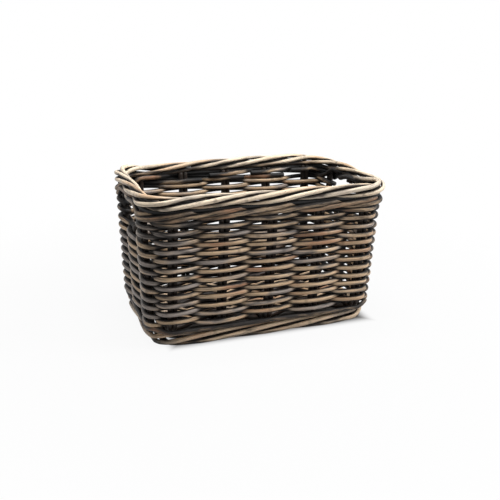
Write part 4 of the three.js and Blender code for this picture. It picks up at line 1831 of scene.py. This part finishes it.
@dataclass
class Studio:
    """Camera, pale floor and soft light. Angles are in radians and distances in metres."""

    camera_distance: float = 1.1465
    camera_azimuth: float = 0.365
    camera_elevation: float = 0.325
    yaw_offset: float = 0.006
    pitch_offset: float = 0.010
    roll: float = 0.023
    focal_share: float = 695.842 / 500.0
    sensor: float = 36.0
    clip_near: float = 0.05
    clip_far: float = 30.0
    target_height: float = 0.1186
    floor_size: float = 8.0
    floor_roughness: float = 0.9
    floor_colour: Colour = srgb(186, 186, 187)
    painted_shadow_colour: Colour = srgb(70, 66, 63)
    shadow_share: float = 0.07
    shade_shift: float = 0.015
    shade_x: float = 0.150
    shade_y: float = 0.085
    shade_edge: float = 0.030
    white_near: float = 0.28
    white_far: float = 0.75
    fill_level: float = 0.055
    fill_colour: Colour = (0.96, 0.98, 1.0)
    lamps: tuple[Lamp, ...] = (
        Lamp("key_lamp", spot=(1.25, -0.7, 1.1), size=0.7, power=23.0),
        Lamp("top_lamp", spot=(0.0, -0.1, 1.9), size=1.0, power=38.0),
        Lamp("side_lamp", spot=(-1.1, 0.35, 1.2), size=1.2, power=4.0),
    )

    @property
    def target(self) -> Vector:
        """Spot in the basket's middle that the camera and the lamps turn to."""
        return Vector((0.0, 0.0, self.target_height))

    def _camera(self) -> None:
        """Places the camera by its angles round the basket's middle."""
        azimuth, elevation = self.camera_azimuth, self.camera_elevation
        back = Vector((
            -math.sin(azimuth) * math.cos(elevation),
            -math.cos(azimuth) * math.cos(elevation),
            math.sin(elevation),
        ))
        yaw, pitch = azimuth + self.yaw_offset, elevation + self.pitch_offset
        forward = Vector((math.sin(yaw) * math.cos(pitch), math.cos(yaw) * math.cos(pitch), -math.sin(pitch)))
        right = Vector((math.cos(yaw), -math.sin(yaw), 0.0))
        up = right.cross(forward)
        turned_right = math.cos(self.roll) * right + math.sin(self.roll) * up
        turned_up = -math.sin(self.roll) * right + math.cos(self.roll) * up
        data = bpy.data.cameras.new("photo_camera")
        data.sensor_width = self.sensor
        data.lens = self.sensor * self.focal_share
        data.clip_start = self.clip_near
        data.clip_end = self.clip_far
        camera = bpy.data.objects.new("photo_camera", data)
        bpy.context.scene.collection.objects.link(camera)
        spot = self.target + self.camera_distance * back
        turn = Matrix((turned_right, turned_up, -forward)).transposed()
        camera.matrix_world = Matrix.Translation(spot) @ turn.to_4x4()
        bpy.context.scene.camera = camera

    def _floor(self) -> None:
        """A wide pale floor."""
        half = self.floor_size / 2.0
        corners = [(-half, -half, 0.0), (half, -half, 0.0), (half, half, 0.0), (-half, half, 0.0)]
        mesh = bpy.data.meshes.new("studio_floor")
        mesh.from_pydata(corners, [], [(0, 1, 2, 3)])
        mesh.materials.append(self._floor_paint())
        floor = bpy.data.objects.new("studio_floor", mesh)
        bpy.context.scene.collection.objects.link(floor)

    def _floor_paint(self) -> bpy.types.Material:
        """Paint that looks white to the camera, keeps a faint shadow, and under the basket is truly shaded
        and painted darker as a painted shadow.

        Returns:
            The floor's material.
        """
        material = bpy.data.materials.new("pale_floor")
        material.use_nodes = True
        maker = NodeMaker(material.node_tree)
        paint = material.node_tree.nodes["Principled BSDF"]
        paint.inputs["Roughness"].default_value = self.floor_roughness
        glow = maker.add("ShaderNodeEmission")
        maker.feed(glow.inputs["Color"], WHITE)
        spot = maker.add("ShaderNodeTexCoord").outputs["Object"]
        place = maker.add("ShaderNodeSeparateXYZ")
        maker.feed(place.inputs[0], spot)
        aside = maker.math("ABSOLUTE", maker.math("SUBTRACT", place.outputs["X"], self.shade_shift))
        ahead = maker.math("ABSOLUTE", place.outputs["Y"])
        past_x = maker.ease(aside, self.shade_x, self.shade_x + self.shade_edge)
        past_y = maker.ease(ahead, self.shade_y, self.shade_y + self.shade_edge)
        outside = maker.math("MAXIMUM", past_x, past_y)
        # Painted shadow: darker paint under the basket.
        maker.feed(paint.inputs["Base Color"], maker.blend(outside, self.painted_shadow_colour, self.floor_colour))
        away = maker.add("ShaderNodeVectorMath")
        away.operation = "LENGTH"
        maker.feed(away.inputs[0], spot)
        white = maker.ease(away.outputs["Value"], self.white_near, self.white_far)
        white = maker.math("ADD", 1.0 - self.shadow_share, maker.math("MULTIPLY", white, self.shadow_share))
        share = maker.math("MULTIPLY", maker.math("MULTIPLY", maker.seen(), outside), white)
        target = material.node_tree.nodes["Material Output"].inputs["Surface"]
        maker.mix_shaders(share, paint.outputs["BSDF"], glow.outputs["Emission"], target)
        return material

    def _world(self) -> None:
        """Even fill light, and white where the camera looks past the floor."""
        world = bpy.data.worlds.new("soft_room")
        world.use_nodes = True
        maker = NodeMaker(world.node_tree)
        fill = world.node_tree.nodes["Background"]
        maker.feed(fill.inputs["Color"], self.fill_colour)
        fill.inputs["Strength"].default_value = self.fill_level
        white = maker.add("ShaderNodeBackground")
        maker.feed(white.inputs["Color"], WHITE)
        target = world.node_tree.nodes["World Output"].inputs["Surface"]
        maker.mix_shaders(maker.seen(), fill.outputs["Background"], white.outputs["Background"], target)
        bpy.context.scene.world = world

    def build(self) -> None:
        """Sets up the camera, the floor, the light and the plain colour view."""
        self._camera()
        self._floor()
        self._world()
        for lamp in self.lamps:
            lamp.build(self.target)
        bpy.context.scene.view_settings.view_transform = "Standard"


def main() -> None:
    """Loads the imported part, builds each sub-assembly in its place and sets up the studio."""
    logging.basicConfig(level=logging.INFO)
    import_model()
    rng = np.random.default_rng(SEED)
    wall = WallShape(BasketSizes())
    groups = RattanGroups()
    finishes = {
        Slot.WEAVER: WEAVER_FINISH.build(groups),
        Slot.STAKE: STAKE_FINISH.build(groups),
        Slot.RIM: RIM_FINISH.build(groups),
        Slot.FOOT: FOOT_FINISH.build(groups),
    }
    assemblies: tuple[tuple[RodWork, Slot], ...] = (
        (StakeFrame(wall), Slot.STAKE),
        (FloorWeave(wall), Slot.WEAVER),
        (UpsettRing(wall), Slot.WEAVER),
        (WallWeave(wall), Slot.WEAVER),
        (TopWale(wall), Slot.WEAVER),
        (RimBorder(wall), Slot.RIM),
        (RimCore(wall), Slot.STAKE),
        (FootBorder(wall), Slot.FOOT),
    )
    for assembly, slot in assemblies:
        for piece in assembly.build(rng):
            piece.place(finishes[slot], slot)
    Studio().build()


if __name__ == "__main__":
    main()
